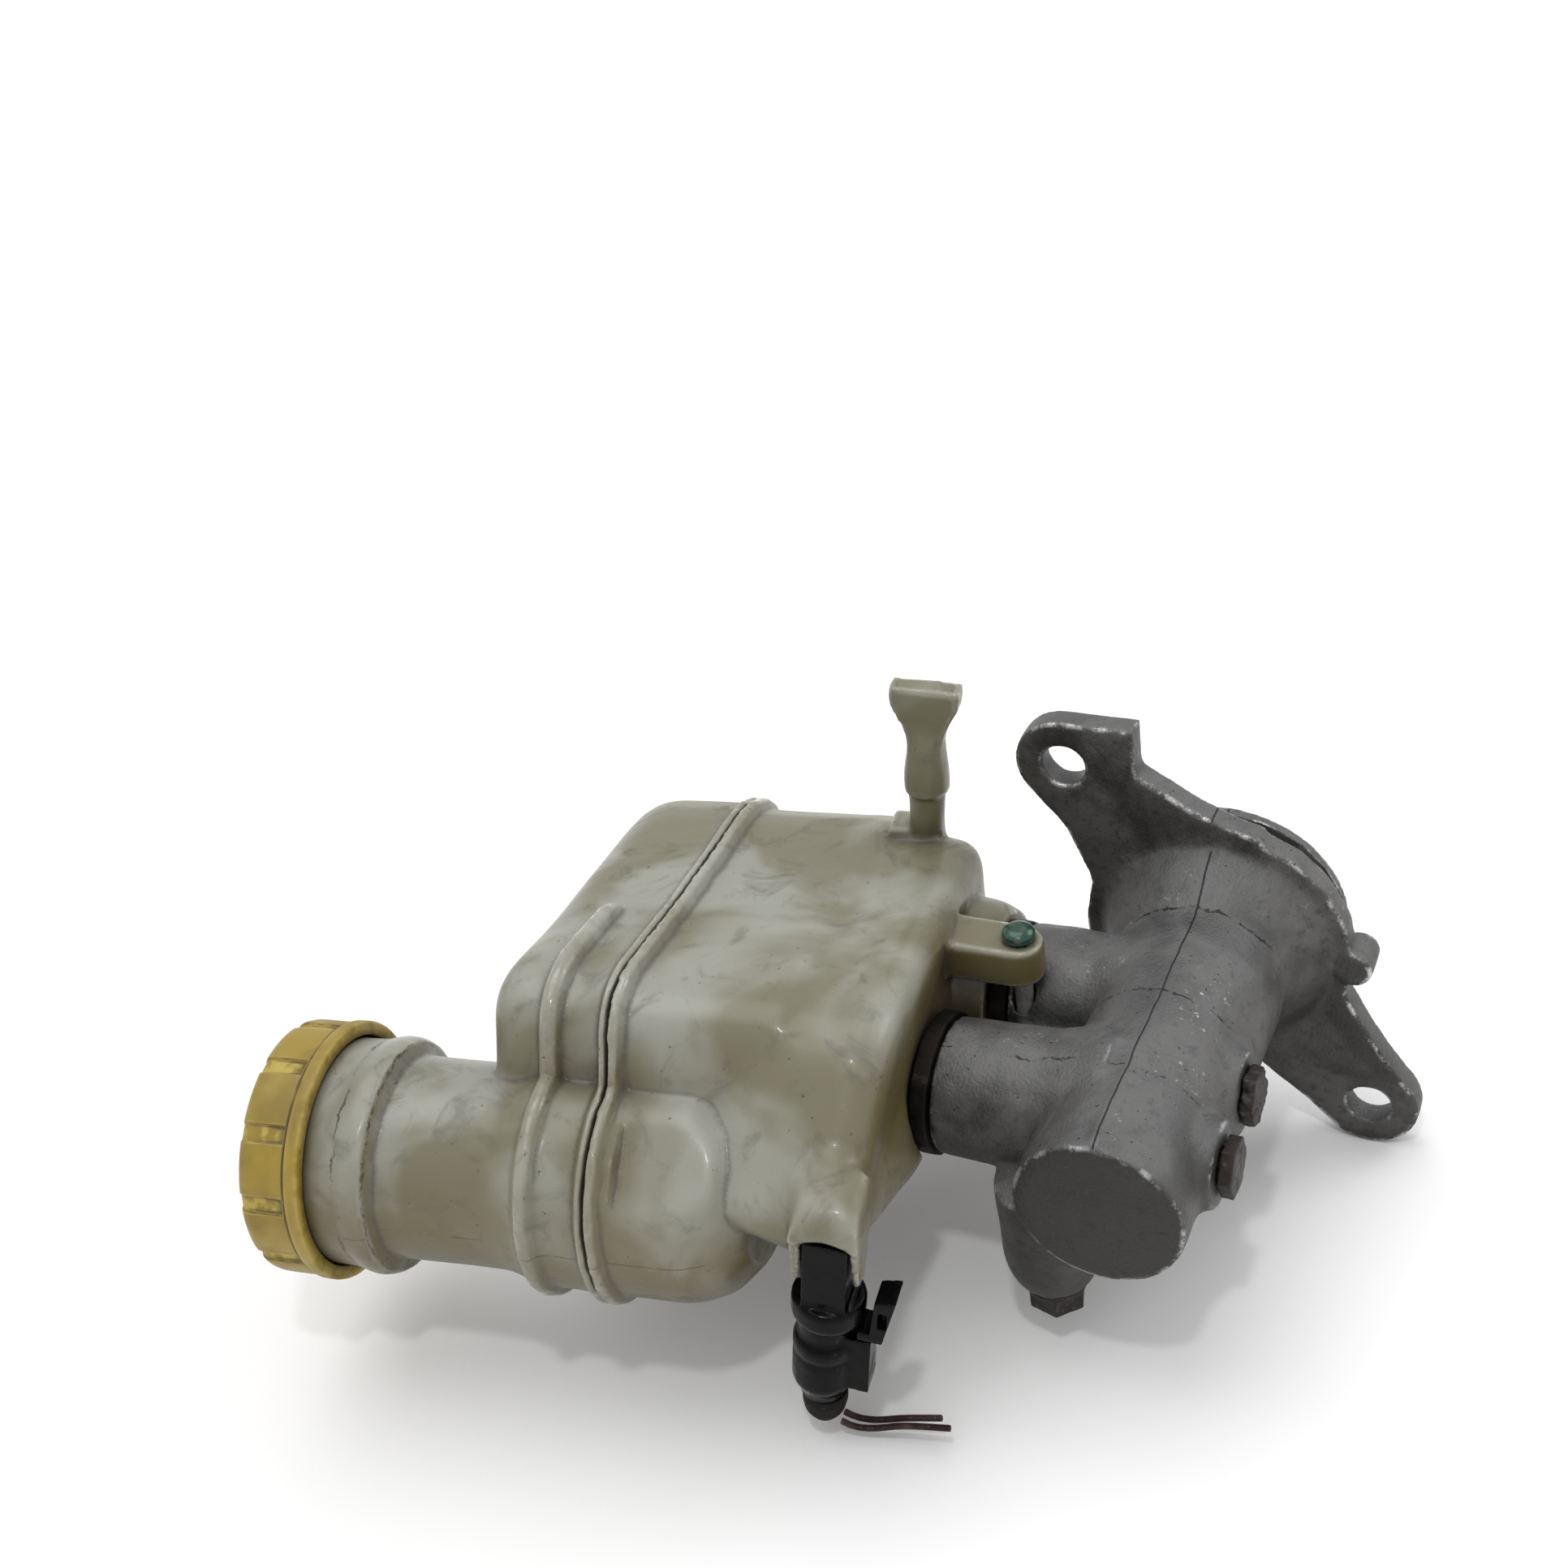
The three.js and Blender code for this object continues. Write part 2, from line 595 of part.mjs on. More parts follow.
function reservoirUpper() {
  const low = weldHeight + GAP / 2;
  const shell = lofted(topOutline, [
    [low, 0], [tankTop - 7, 0], [tankTop - 3, 1.2], [tankTop - 1, 3], [tankTop, 5.6],
  ]);
  const tower = turned([
    [0, low], [neck.columnRadius, low], [neck.columnRadius, 113], [neck.columnRadius - 0.6, 115.5],
    [neck.radius, 119.5], [neck.radius, 142.4], [neck.beadRadius - 0.8, 143.4],
    [neck.beadRadius, 144.8], [neck.beadRadius, 147.2], [22.2, 149], [21.8, 150], [21.8, cap.bottom + GAP],
    [21.4, neck.top], [0, neck.top],
  ], "z", neckCentre, 28);
  const hollow = join(
    lofted(topOutline, [
      [low - 1, wall], [tankTop - 8, wall], [tankTop - 4, wall + 1.4], [tankTop - wall, wall + 5],
    ]),
    turned([
      [0, low - 1], [neck.columnRadius - wall, low - 1], [neck.columnRadius - wall, 113],
      [neck.radius - wall, 119.5], [neck.radius - wall, neck.top + 1], [0, neck.top + 1],
    ], "z", neckCentre),
  );
  const flangeBand = bandAround(tubOutline, low, weldHeight + ridge.halfWidth, ridge.proud);
  const bead = bandAround(topOutline, ridge.bead - 1.8, ridge.bead + 1.8, ridge.beadProud);
  const rearPart = block([-60, -60, ridge.bead - 5], [42, 60, ridge.bead + 5]);
  return cut(join(shell, tower, flangeBand, cut(bead, rearPart)), hollow);
}

// ---------- Parts fitted to the reservoir ----------

function fillerCap() {
  const shell = turned([
    [0, cap.top], [cap.radius - 1.4, cap.top], [cap.radius, cap.top - 1.4], [cap.radius, cap.bottom + 3.2],
    [cap.radius + 0.5, cap.bottom + 2.8], [cap.radius + 0.5, cap.bottom], [cap.inner, cap.bottom],
    [cap.inner, cap.top - 1.4], [0, cap.top - 1.4],
  ].reverse(), "z", neckCentre, 33);
  const scallops = [...Array(cap.ribs).keys()].map((k) => {
    const angle = (k * 360 / cap.ribs) * DEG;
    const notch = new THREE.BoxGeometry(1.6, 3.2, cap.top - cap.bottom).translate(cap.radius + 0.3, 0, 0);
    notch.rotateZ(angle).translate(neck.v, neck.w, (cap.top + cap.bottom) / 2 + 3.4);
    return toSolid(notch);
  });
  return cut(shell, ...scallops);
}

function capSeal() {
  return turned([
    [0, neck.top + 0.4], [21, neck.top + 0.4], [21, neck.top + 1.3], [0, neck.top + 1.3],
  ], "z", neckCentre);
}

function strainer() {
  const outer = neck.radius - wall - GAP;
  const basket = turned([
    [0, 128], [outer - 1.6, 128], [outer, 129.5], [outer, neck.top - 1], [outer - 1.2, neck.top - 1],
    [outer - 1.2, 130.2], [outer - 2.2, 129.2], [0, 129.2],
  ], "z", neckCentre);
  const slots = [...Array(6).keys()].map((k) => {
    const slot = new THREE.BoxGeometry(8, 4, 26).translate(outer, 0, 0).rotateZ(k * 60 * DEG);
    return toSolid(slot.translate(neck.v, neck.w, 145));
  });
  return cut(basket, ...slots);
}

function floatBody() {
  const centre = [floatRun.v, floatRun.w, 0];
  const { low, high, radius, guide } = floatRun;
  const disc = turned([
    [guide + 0.5, low], [radius - 1, low], [radius, low + 1], [radius, high - 1], [radius - 1, high],
    [guide + 0.5, high], [guide + 0.5, low],
  ], "z", centre, 24);
  return cut(disc, ring("z", 3, 6, low - 1, low + 3, centre, 24));
}

function floatMagnet() {
  const centre = [floatRun.v, floatRun.w, 0];
  return ring("z", 3.3, 5.7, floatRun.low + 0.2, floatRun.low + 2.7, centre, 24);
}

// ---------- Level sensor and plug, along the sensor's own axis ----------

function levelSensor() {
  return join(
    block([-5, -4.1, 4.4], [5, 4.1, 21]),
    turned([[0, 20.4], [6.4, 20.4], [6.9, 21], [6.9, 24.6], [6.2, 26], [0, 26]], "z", [0, 0, 0], 20),
  );
}

function harnessPlug() {
  const body = turned([
    [0, 26.3], [5, 26.3], [5, 30.8], [5.9, 31.6], [5.9, 34.4], [5.5, 35], [5.9, 35.6], [5.9, 42.6],
    [4.4, 46], [4.4, 47], [0, 47],
  ], "z", [0, 0.5, 0], 16);
  return join(body, block([-3, -8.6, 29.1], [3, -3, 42.6]));
}

function plugLatch() {
  const plate = plateAlongX(polygon([[-12.8, 17], [-8.8, 18.2], [-8, 28.6], [-10.6, 28.6]]), -3, 3);
  const arm = block([-3, -9, 26.7], [3, -6, 28.6]);
  const window = block([-5, -11.2, 20.4], [5, -9.6, 24.6]);
  return cut(join(plate, arm), window);
}

function wireBoot() {
  return turned([
    [0, 47.3], [4.2, 47.3], [4.4, 49], [3.9, 52], [2.4, 54.4], [0, 54.8],
  ], "z", [0, 0, 0], 14);
}

// The two leads leave the boot and bend towards the reservoir's underside.
function lead(side, reach) {
  return wireAlong([
    [side * 1.1, -3.5, 54.6], [side * 1.1, -6, 55.4], [side, -9.5, 54.8],
    [side * 0.9, -15, 52.2], [side * 0.9, -reach, 49.6],
  ], 0.7);
}

// ---------- Assembly ----------

const cylinder = new THREE.Group();
cylinder.add(
  part("cylinder_body", casting(), looks.casting),
  part("front_grommet", grommet(frontInlet, 13.9, 3.2), looks.rubber),
  part("rear_grommet", grommet(rearInlet, 13.1, 3.2), looks.rubber),
  part("retaining_pin", retainingPin(), looks.greenPin),
  part("pilot_seal", ring("x", 21.9, 24.4, -4.9, -2.1), looks.rubber),
  part("snap_ring", snapRing(), looks.steel),
  part("stop_washer", ring("x", 7.9, 11.8, -4, -2.5), looks.steel),
  part("primary_piston", primaryPiston(), looks.steel),
  part("primary_rear_cup", pistonCup(primaryCups[0]), looks.rubber),
  part("primary_front_cup", pistonCup(primaryCups[1]), looks.rubber),
  part("primary_spring", coilSpring(5.4, primary.front - 4.6, secondary.rear - 0.4, 5), looks.steel),
  part("secondary_piston", secondaryPiston(), looks.steel),
  part("secondary_rear_cup", pistonCup(secondaryCups[0]), looks.rubber),
  part("secondary_front_cup", pistonCup(secondaryCups[1]), looks.rubber),
  part("secondary_spring", coilSpring(5.4, secondary.front - 4.6, barrel.boreEnd - 0.4, 6), looks.steel),
  part("stop_bolt", stopScrew(), looks.darkSteel),
  part("front_outlet_plug", outletPlug(frontOutlet), looks.darkSteel),
  part("rear_outlet_plug", outletPlug(rearOutlet), looks.darkSteel),
);

const sensorGroup = sensorFrame();
sensorGroup.add(
  part("level_sensor", levelSensor(), looks.blackPlastic),
  part("harness_plug", harnessPlug(), looks.blackPlastic),
  part("plug_latch", plugLatch(), looks.blackPlastic),
  part("wire_boot", wireBoot(), looks.rubber),
  part("wire_brown", lead(1, 24), looks.wireDark),
  part("wire_violet", lead(-1, 22), looks.wireDark),
);

const tank = new THREE.Group();
tank.rotation.y = tilt;
tank.add(
  part("reservoir_lower", reservoirLower(), looks.tank),
  part("reservoir_upper", reservoirUpper(), looks.tank),
  part("filler_cap", fillerCap(), looks.capYellow),
  part("cap_seal", capSeal(), looks.rubber),
  part("strainer", strainer(), looks.whitePlastic),
  part("level_float", floatBody(), looks.whitePlastic),
  part("float_magnet", floatMagnet(), looks.darkSteel),
  sensorGroup,
);

const masterCylinder = new THREE.Group();
masterCylinder.rotation.x = 90 * DEG;
masterCylinder.add(cylinder, tank);

export default masterCylinder;
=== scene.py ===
"""Looks of a used brake master cylinder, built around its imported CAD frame.

Lengths are in metres. Row frame: X runs along the bore, -Y is towards the filler and Z is up.
"""

import json
import math

import bpy
import numpy as np
from mathutils import Matrix, Vector, noise

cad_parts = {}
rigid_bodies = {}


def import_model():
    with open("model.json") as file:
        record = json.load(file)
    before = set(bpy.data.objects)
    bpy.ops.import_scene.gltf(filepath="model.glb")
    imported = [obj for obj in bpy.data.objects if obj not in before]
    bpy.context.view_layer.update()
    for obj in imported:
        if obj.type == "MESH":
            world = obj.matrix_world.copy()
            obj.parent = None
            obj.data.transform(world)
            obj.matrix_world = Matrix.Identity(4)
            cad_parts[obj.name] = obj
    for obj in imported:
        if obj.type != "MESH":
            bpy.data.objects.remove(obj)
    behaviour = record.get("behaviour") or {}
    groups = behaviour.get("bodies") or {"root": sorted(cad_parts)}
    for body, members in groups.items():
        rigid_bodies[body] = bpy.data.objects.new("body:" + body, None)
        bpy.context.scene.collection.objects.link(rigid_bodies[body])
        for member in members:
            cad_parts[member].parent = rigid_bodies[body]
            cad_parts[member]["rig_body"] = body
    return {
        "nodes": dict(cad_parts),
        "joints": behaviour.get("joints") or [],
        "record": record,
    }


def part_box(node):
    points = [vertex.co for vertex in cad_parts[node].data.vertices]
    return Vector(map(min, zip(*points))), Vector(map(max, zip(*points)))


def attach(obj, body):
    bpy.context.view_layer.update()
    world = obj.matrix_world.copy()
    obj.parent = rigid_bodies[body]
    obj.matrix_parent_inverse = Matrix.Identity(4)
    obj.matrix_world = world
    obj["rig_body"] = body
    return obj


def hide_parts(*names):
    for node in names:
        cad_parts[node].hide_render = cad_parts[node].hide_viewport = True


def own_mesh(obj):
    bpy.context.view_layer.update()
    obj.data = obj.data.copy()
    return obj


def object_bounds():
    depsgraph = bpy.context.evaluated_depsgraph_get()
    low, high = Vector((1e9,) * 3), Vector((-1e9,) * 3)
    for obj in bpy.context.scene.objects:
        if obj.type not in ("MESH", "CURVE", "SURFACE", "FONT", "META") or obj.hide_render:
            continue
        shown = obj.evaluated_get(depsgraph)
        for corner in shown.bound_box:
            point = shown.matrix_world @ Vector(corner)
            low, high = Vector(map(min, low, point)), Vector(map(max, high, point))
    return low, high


MM = 0.001
DEG = math.pi / 180
ORIGIN = (0, 0, 0)
FORWARD = (1, 0, 0)
ACROSS = (0, 1, 0)
UP = (0, 0, 1)

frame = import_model()
cad_low, cad_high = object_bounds()
joints = {joint["name"]: joint for joint in frame["joints"]}

NECK_POINT = Vector(joints["cap_turn"]["pos_m"])
NECK_AXIS = Vector(joints["cap_turn"]["axis"]).normalized()
NECK_FORWARD = Vector(UP).cross(NECK_AXIS).normalized()


# ---------- Measuring the frame ----------

def cad_points(node):
    """A CAD node's vertices as an array."""
    vertices = frame["nodes"][node].data.vertices
    points = np.zeros(len(vertices) * 3, np.float32)
    vertices.foreach_get("co", points)
    return points.reshape(-1, 3).astype(float)


def heights_along_neck(node):
    """Lowest and highest place of a node along the neck axis, from the cap joint's point."""
    along = (cad_points(node) - np.array(NECK_POINT)) @ np.array(NECK_AXIS)
    return float(along.min()), float(along.max())


def radius_about_neck(node):
    """Greatest distance of a node from the neck axis."""
    offset = cad_points(node) - np.array(NECK_POINT)
    axis = np.array(NECK_AXIS)
    across = offset - np.outer(offset @ axis, axis)
    return float(np.linalg.norm(across, axis=1).max())


SEAM_HEIGHT = heights_along_neck("reservoir_upper")[0]
SEAM_GAP = 0.3 * MM
SEAM_REACH = 2 * MM
SEAM_CLOSING = 0.85  # how far each edge moves, as a share of the gap

BEAD_OFFSET = 12.3 * MM
BEAD_START = -43 * MM
BEAD_RUN_IN = 4 * MM
BEAD_WIDTH = 1.7 * MM
BEAD_RISE = 0.9 * MM

SOCKET_DEPTH = 8 * MM
SOCKET_RADIUS = 11 * MM
SOCKET_ROUNDS = 150
MELT_FALLOFF = 2.2

FIT_ROUNDS = 12
CREASE = 38 * DEG
TANK_CREASE = 24 * DEG


# ---------- Fine surfaces ----------

def voxel_mesh(node, voxel):
    """Points and quads of a CAD node after a voxel remesh."""
    copy = bpy.data.objects.new("voxel_copy", frame["nodes"][node].data.copy())
    bpy.context.scene.collection.objects.link(copy)
    remesh = copy.modifiers.new("fine", "REMESH")
    remesh.mode = "VOXEL"
    remesh.voxel_size = voxel
    graph = bpy.context.evaluated_depsgraph_get()
    evaluated = copy.evaluated_get(graph)
    mesh = evaluated.to_mesh()
    points = np.zeros(len(mesh.vertices) * 3, np.float32)
    mesh.vertices.foreach_get("co", points)
    corners = np.zeros(len(mesh.loops), np.int32)
    mesh.loops.foreach_get("vertex_index", corners)
    evaluated.to_mesh_clear()
    bpy.data.objects.remove(copy)
    return points.reshape(-1, 3).astype(float), corners.reshape(-1, 4)


def face_neighbours(quads):
    """For each side of each quad, the quad on its other side."""
    ends = np.stack([quads, np.roll(quads, -1, axis=1)], axis=2).reshape(-1, 2)
    keys = ends.min(axis=1).astype(np.int64) * (int(quads.max()) + 1) + ends.max(axis=1)
    order = np.argsort(keys, kind="stable")
    first, second = order[0::2], order[1::2]
    neighbours = np.zeros(len(ends), np.int64)
    neighbours[first] = second // 4
    neighbours[second] = first // 4
    return neighbours.reshape(-1, 4)


def face_normals(points, quads):
    """Unit normal of each quad."""
    corners = points[quads]
    normals = np.cross(corners[:, 2] - corners[:, 0], corners[:, 3] - corners[:, 1])
    return normals / np.maximum(np.linalg.norm(normals, axis=1), 1e-20)[:, None]


def sum_at_points(values, quads, count):
    """Adds up one vector per quad corner at each point."""
    flat = values.reshape(-1, 3)
    where = quads.ravel()
    return np.stack([np.bincount(where, flat[:, k], count) for k in range(3)], axis=1)


def even_out(points, quads, rounds, crease):
    """Turns facets into smooth curves but keeps edges sharper than the crease angle."""
    neighbours = face_neighbours(quads)
    normals = face_normals(points, quads)
    limit = math.cos(crease)
    for _ in range(rounds):
        near = normals[neighbours]
        alike = np.clip(np.einsum("fkc,fc->fk", near, normals) - limit, 0, None) ** 2
        total = normals * (1 - limit) ** 2 + (near * alike[..., None]).sum(axis=1)
        normals = total / np.maximum(np.linalg.norm(total, axis=1), 1e-20)[:, None]
    uses = np.bincount(quads.ravel(), minlength=len(points))[:, None]
    for _ in range(FIT_ROUNDS):
        corners = points[quads]
        offset = corners.mean(axis=1)[:, None] - corners
        share = np.einsum("fc,fkc->fk", normals, offset)
        points = points + sum_at_points(normals[:, None] * share[..., None], quads, len(points)) / uses
    return points


def relax(points, quads, rounds):
    """Softens edges a little."""
    uses = np.bincount(quads.ravel(), minlength=len(points))[:, None]
    for _ in range(rounds):
        centres = np.repeat(points[quads].mean(axis=1)[:, None], 4, axis=1)
        points = (points + sum_at_points(centres, quads, len(points)) / uses) / 2
    return points


def point_normals(points, quads):
    """Unit normal at each point."""
    normals = np.repeat(face_normals(points, quads)[:, None], 4, axis=1)
    direction = sum_at_points(normals, quads, len(points))
    return direction / np.maximum(np.linalg.norm(direction, axis=1), 1e-20)[:, None]


def uneven(points, quads, size, amount):
    """Pushes the surface in and out by smooth noise of the given grain size."""
    push = np.array([noise.noise(Vector(point) / size) for point in points])
    return points + point_normals(points, quads) * push[:, None] * amount


def above_seam(points):
    """Height of points over the welded seam, along the neck axis."""
    return (points - np.array(NECK_POINT)) @ np.array(NECK_AXIS) - SEAM_HEIGHT


def close_seam(points):
    """Brings the welded edges of the two tank shells together, so that only a fine groove is left."""
    height = above_seam(points) + SEAM_GAP / 2
    near = np.clip(1 - np.abs(height) / SEAM_REACH, 0, 1)
    shift = -np.sign(height) * SEAM_CLOSING * SEAM_GAP * near
    return points + np.outer(shift, np.array(NECK_AXIS))


def swell_bead(points, quads):
    """Raises the soft bead beside the weld, which the smoothing has lowered."""
    height = above_seam(points) - BEAD_OFFSET
    forward = (points - np.array(NECK_POINT)) @ np.array(NECK_FORWARD) - BEAD_START
    share = np.exp(-(height / BEAD_WIDTH) ** 2) * np.clip(forward / BEAD_RUN_IN, 0, 1)
    return points + point_normals(points, quads) * share[:, None] * BEAD_RISE


def socket_shoulder():
    """The place where the sensor socket leaves the tank, just above the sensor's inner end."""
    axis = np.array(Vector(joints["plug_pull"]["axis"]).normalized())
    points = cad_points("level_sensor")
    depth = points @ axis
    inner_end = points[depth < depth.min() + 0.5 * MM].mean(axis=0)
    return inner_end - axis * SOCKET_DEPTH


def melt(points, quads, centre, radius, rounds):
    """Lets the surface flow smoothly within a ball, as where the sensor socket leaves the tank."""
    far = np.linalg.norm(points - np.array(centre), axis=1) / radius
    share = np.clip(MELT_FALLOFF - MELT_FALLOFF * far, 0, 1)[:, None]
    for _ in range(rounds):
        points = points + (relax(points, quads, 1) - points) * share
    return points


def new_mesh_object(name, points, faces):
    """A smooth shaded object in the scene."""
    mesh = bpy.data.meshes.new(name)
    mesh.from_pydata(np.asarray(points).tolist(), [], np.asarray(faces).tolist())
    mesh.validate()
    mesh.update()
    mesh.polygons.foreach_set("use_smooth", [True] * len(mesh.polygons))
    piece = bpy.data.objects.new(name, mesh)
    bpy.context.scene.collection.objects.link(piece)
    return piece


def refine(node, name, voxel, rounds=30, crease=CREASE, soften=2, grains=()):
    """Replaces a CAD node by the same shape with a fine, smooth surface."""
    points, quads = voxel_mesh(node, voxel)
    points = even_out(points, quads, rounds, crease)
    points = relax(points, quads, soften)
    if node.startswith("reservoir"):
        points = close_seam(points)
    if node == "reservoir_upper":
        points = swell_bead(points, quads)
    if node == "reservoir_lower":
        points = melt(points, quads, socket_shoulder(), SOCKET_RADIUS, SOCKET_ROUNDS)
    for size, amount in grains:
        points = uneven(points, quads, size, amount)
    piece = new_mesh_object(name, points, quads)
    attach(piece, frame["nodes"][node]["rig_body"])
    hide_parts(node)
    return piece


# ---------- Node helpers ----------

def add(tree, kind, inputs=None, **settings):
    """A shader node. Inputs are sockets to link from or plain values."""
    made = tree.nodes.new(kind)
    for key, value in settings.items():
        setattr(made, key, value)
    for key, value in (inputs or {}).items():
        if isinstance(value, bpy.types.NodeSocket):
            tree.links.new(value, made.inputs[key])
        else:
            made.inputs[key].default_value = value
    return made


def place(tree):
    """The shaded point, in the row frame."""
    return add(tree, "ShaderNodeTexCoord").outputs["Object"]


def cloud(tree, size, detail=3.0, roughness=0.55, distortion=0.0):
    """Noise whose blotches are about the given size."""
    inputs = {
        "Vector": place(tree), "Scale": 1 / size, "Detail": detail,
        "Roughness": roughness, "Distortion": distortion,
    }
    return add(tree, "ShaderNodeTexNoise", inputs).outputs["Fac"]


def step(tree, value, low, high):
    """0 below low, 1 above high, smooth between; low may be the greater one."""
    inputs = {"Value": value, "From Min": low, "From Max": high}
    kind = "ShaderNodeMapRange"
    return add(tree, kind, inputs, interpolation_type="SMOOTHSTEP").outputs["Result"]


def calc(tree, operation, first, second=0.0):
    """One step of arithmetic on two numbers."""
    return add(tree, "ShaderNodeMath", {0: first, 1: second}, operation=operation).outputs[0]


def times(tree, first, second):
    """The product of two numbers."""
    return add(tree, "ShaderNodeMath", {0: first, 1: second}, operation="MULTIPLY").outputs[0]


def blend(tree, share, first, second):
    """A colour between two colours."""
    made = add(tree, "ShaderNodeMix", {0: share}, data_type="RGBA")
    for slot, colour in ((6, first), (7, second)):
        if isinstance(colour, bpy.types.NodeSocket):
            tree.links.new(colour, made.inputs[slot])
        else:
            made.inputs[slot].default_value = (*colour, 1)
    return made.outputs[2]


def between(tree, share, first, second):
    """A number between two numbers."""
    made = add(tree, "ShaderNodeMix", {0: share, 2: first, 3: second}, data_type="FLOAT")
    return made.outputs[0]


def edges(tree, low, high):
    """Share of edge, from how sharply the surface bends outwards; with low above high, share of hollows. Used
    for worn edges, painted highlights on ridges and painted shade in hollows.
    """
    pointed = add(tree, "ShaderNodeNewGeometry").outputs["Pointiness"]
    return step(tree, pointed, low, high)


def facing(tree, direction):
    """Cosine between the surface and a direction of the row frame."""
    normal = add(tree, "ShaderNodeNewGeometry").outputs["Normal"]
    inputs = {0: normal, 1: direction}
    made = add(tree, "ShaderNodeVectorMath", inputs, operation="DOT_PRODUCT")
    return made.outputs["Value"]


def along(tree, direction, origin):
    """Distance of the surface point from origin along a direction."""
    offset = add(tree, "ShaderNodeVectorMath", {0: place(tree), 1: origin}, operation="SUBTRACT")
    inputs = {0: offset.outputs["Vector"], 1: direction}
    made = add(tree, "ShaderNodeVectorMath", inputs, operation="DOT_PRODUCT")
    return made.outputs["Value"]


def recess(tree, reach, open_share, closed_share):
    """0 on open surfaces, 1 deep in corners, from how much of the surroundings is covered."""
    covered = add(tree, "ShaderNodeAmbientOcclusion", {"Distance": reach}, samples=4)
    return step(tree, covered.outputs["AO"], open_share, closed_share)


def waver(tree, size, amount, roughness=0.55):
    """Noise about zero, by which a line wanders."""
    centred = calc(tree, "SUBTRACT", cloud(tree, size, 5, roughness), 0.5)
    return times(tree, centred, amount)


def ring_line(tree, height, level, half_width, wander):
    """A ragged line round the neck at one height."""
    ragged = waver(tree, 3.5 * MM, wander, 0.7)
    offset = calc(tree, "ABSOLUTE", calc(tree, "ADD", calc(tree, "SUBTRACT", height, level), ragged))
    return step(tree, offset, half_width, half_width * 0.3)


def bumps(tree, layers):
    """A normal from layers of (height socket, depth, strength)."""
    normal = None
    for height, depth, strength in layers:
        inputs = {"Height": height, "Distance": depth, "Strength": strength}
        if normal is not None:
            inputs["Normal"] = normal
        normal = add(tree, "ShaderNodeBump", inputs).outputs["Normal"]
    return normal


def new_material(name):
    """An empty node material and its tree."""
    made = bpy.data.materials.new(name)
    made.use_nodes = True
    made.node_tree.nodes.clear()
    return made, made.node_tree


def finish_material(tree, inputs):
    """Ends a material with its shader and output."""
    shader = add(tree, "ShaderNodeBsdfPrincipled", inputs)
    add(tree, "ShaderNodeOutputMaterial", {"Surface": shader.outputs["BSDF"]})


# ---------- Materials ----------

# Places along the barrel of the dark arcs of painted shade at its shoulders.
ARC_SHADE_LINES = (0.017, 0.041, 0.062)


def cast_stains_and_shade(tree, stain, lit_from_above):
    """Grey of the casting: stains and smudges, a painted highlight on the top, and painted shade below, on
    the end face and in corners.
    """
    colour = blend(tree, stain, (0.040, 0.038, 0.036), (0.108, 0.105, 0.102))
    smudge = step(tree, cloud(tree, 2.6 * MM, 6, 0.7), 0.50, 0.68)
    colour = blend(tree, times(tree, smudge, 0.6), colour, (0.022, 0.020, 0.019))
    # Painted highlight: surfaces that face up are made paler, as if lit from above.
    colour = blend(tree, times(tree, lit_from_above, 0.35), colour, (0.20, 0.199, 0.20))
    # Painted shade: surfaces that face down are darkened.
    below = step(tree, facing(tree, UP), 0.25, -0.45)
    colour = blend(tree, times(tree, below, 0.7), colour, (0.014, 0.0125, 0.011))
    # Painted shade: the barrel's flat end face, which faces forward, is darkened.
    front = step(tree, along(tree, FORWARD, (cad_high.x, 0, 0)), -60 * MM, -45 * MM)
    front = times(tree, front, step(tree, facing(tree, FORWARD), 0.80, 0.97))
    colour = blend(tree, times(tree, front, 0.75), colour, (0.016, 0.0145, 0.013))
    # Painted shade: corners are darkened by how much of the surroundings covers them.
    corner = recess(tree, 9 * MM, 0.75, 0.30)
    return blend(tree, times(tree, corner, 0.7), colour, (0.010, 0.009, 0.008))


def cast_wear_and_glints(tree, lit_from_above):
    """Share of bright bare metal on rubbed edges, and of bright specks on surfaces that face up: bare metal
    whose brightness there is a painted highlight of glints.
    """
    patch = step(tree, cloud(tree, 6 * MM, 5, 0.75), 0.47, 0.60)
    worn = times(tree, edges(tree, 0.512, 0.55), patch)
    glint_specks = step(tree, cloud(tree, 1.4 * MM, 4, 0.75), 0.60, 0.68)
    shine = step(tree, cloud(tree, 18 * MM, 2), 0.54, 0.66)
    # Painted highlight: the specks are kept only where the surface faces up to the light, as glints.
    glints = times(tree, times(tree, glint_specks, shine), lit_from_above)
    return calc(tree, "MAXIMUM", worn, times(tree, glints, 0.75))


def parting_line(tree, top):
    """Share of the mould's parting line along the top of the casting."""
    behind = step(tree, facing(tree, FORWARD), 0.85, 0.6)
    wander = waver(tree, 16 * MM, 1.5 * MM)
    line = calc(tree, "ABSOLUTE", calc(tree, "ADD", along(tree, ACROSS, ORIGIN), wander))
    parting = times(tree, step(tree, line, 0.24 * MM, 0.06 * MM), top)
    return times(tree, parting, behind)


def arc_shade_line(tree, centre, top):
    """Share of one broken dark arc of painted shade across the top of the casting, at a shoulder of the
    barrel.
    """
    drift = waver(tree, 7 * MM, 4 * MM, 0.7)
    arc = calc(tree, "ABSOLUTE", calc(tree, "ADD", along(tree, FORWARD, (centre, 0, 0)), drift))
    arc = times(tree, step(tree, arc, 0.35 * MM, 0.1 * MM), top)
    broken = step(tree, cloud(tree, 5 * MM, 5, 0.75), 0.46, 0.56)
    return times(tree, arc, broken)


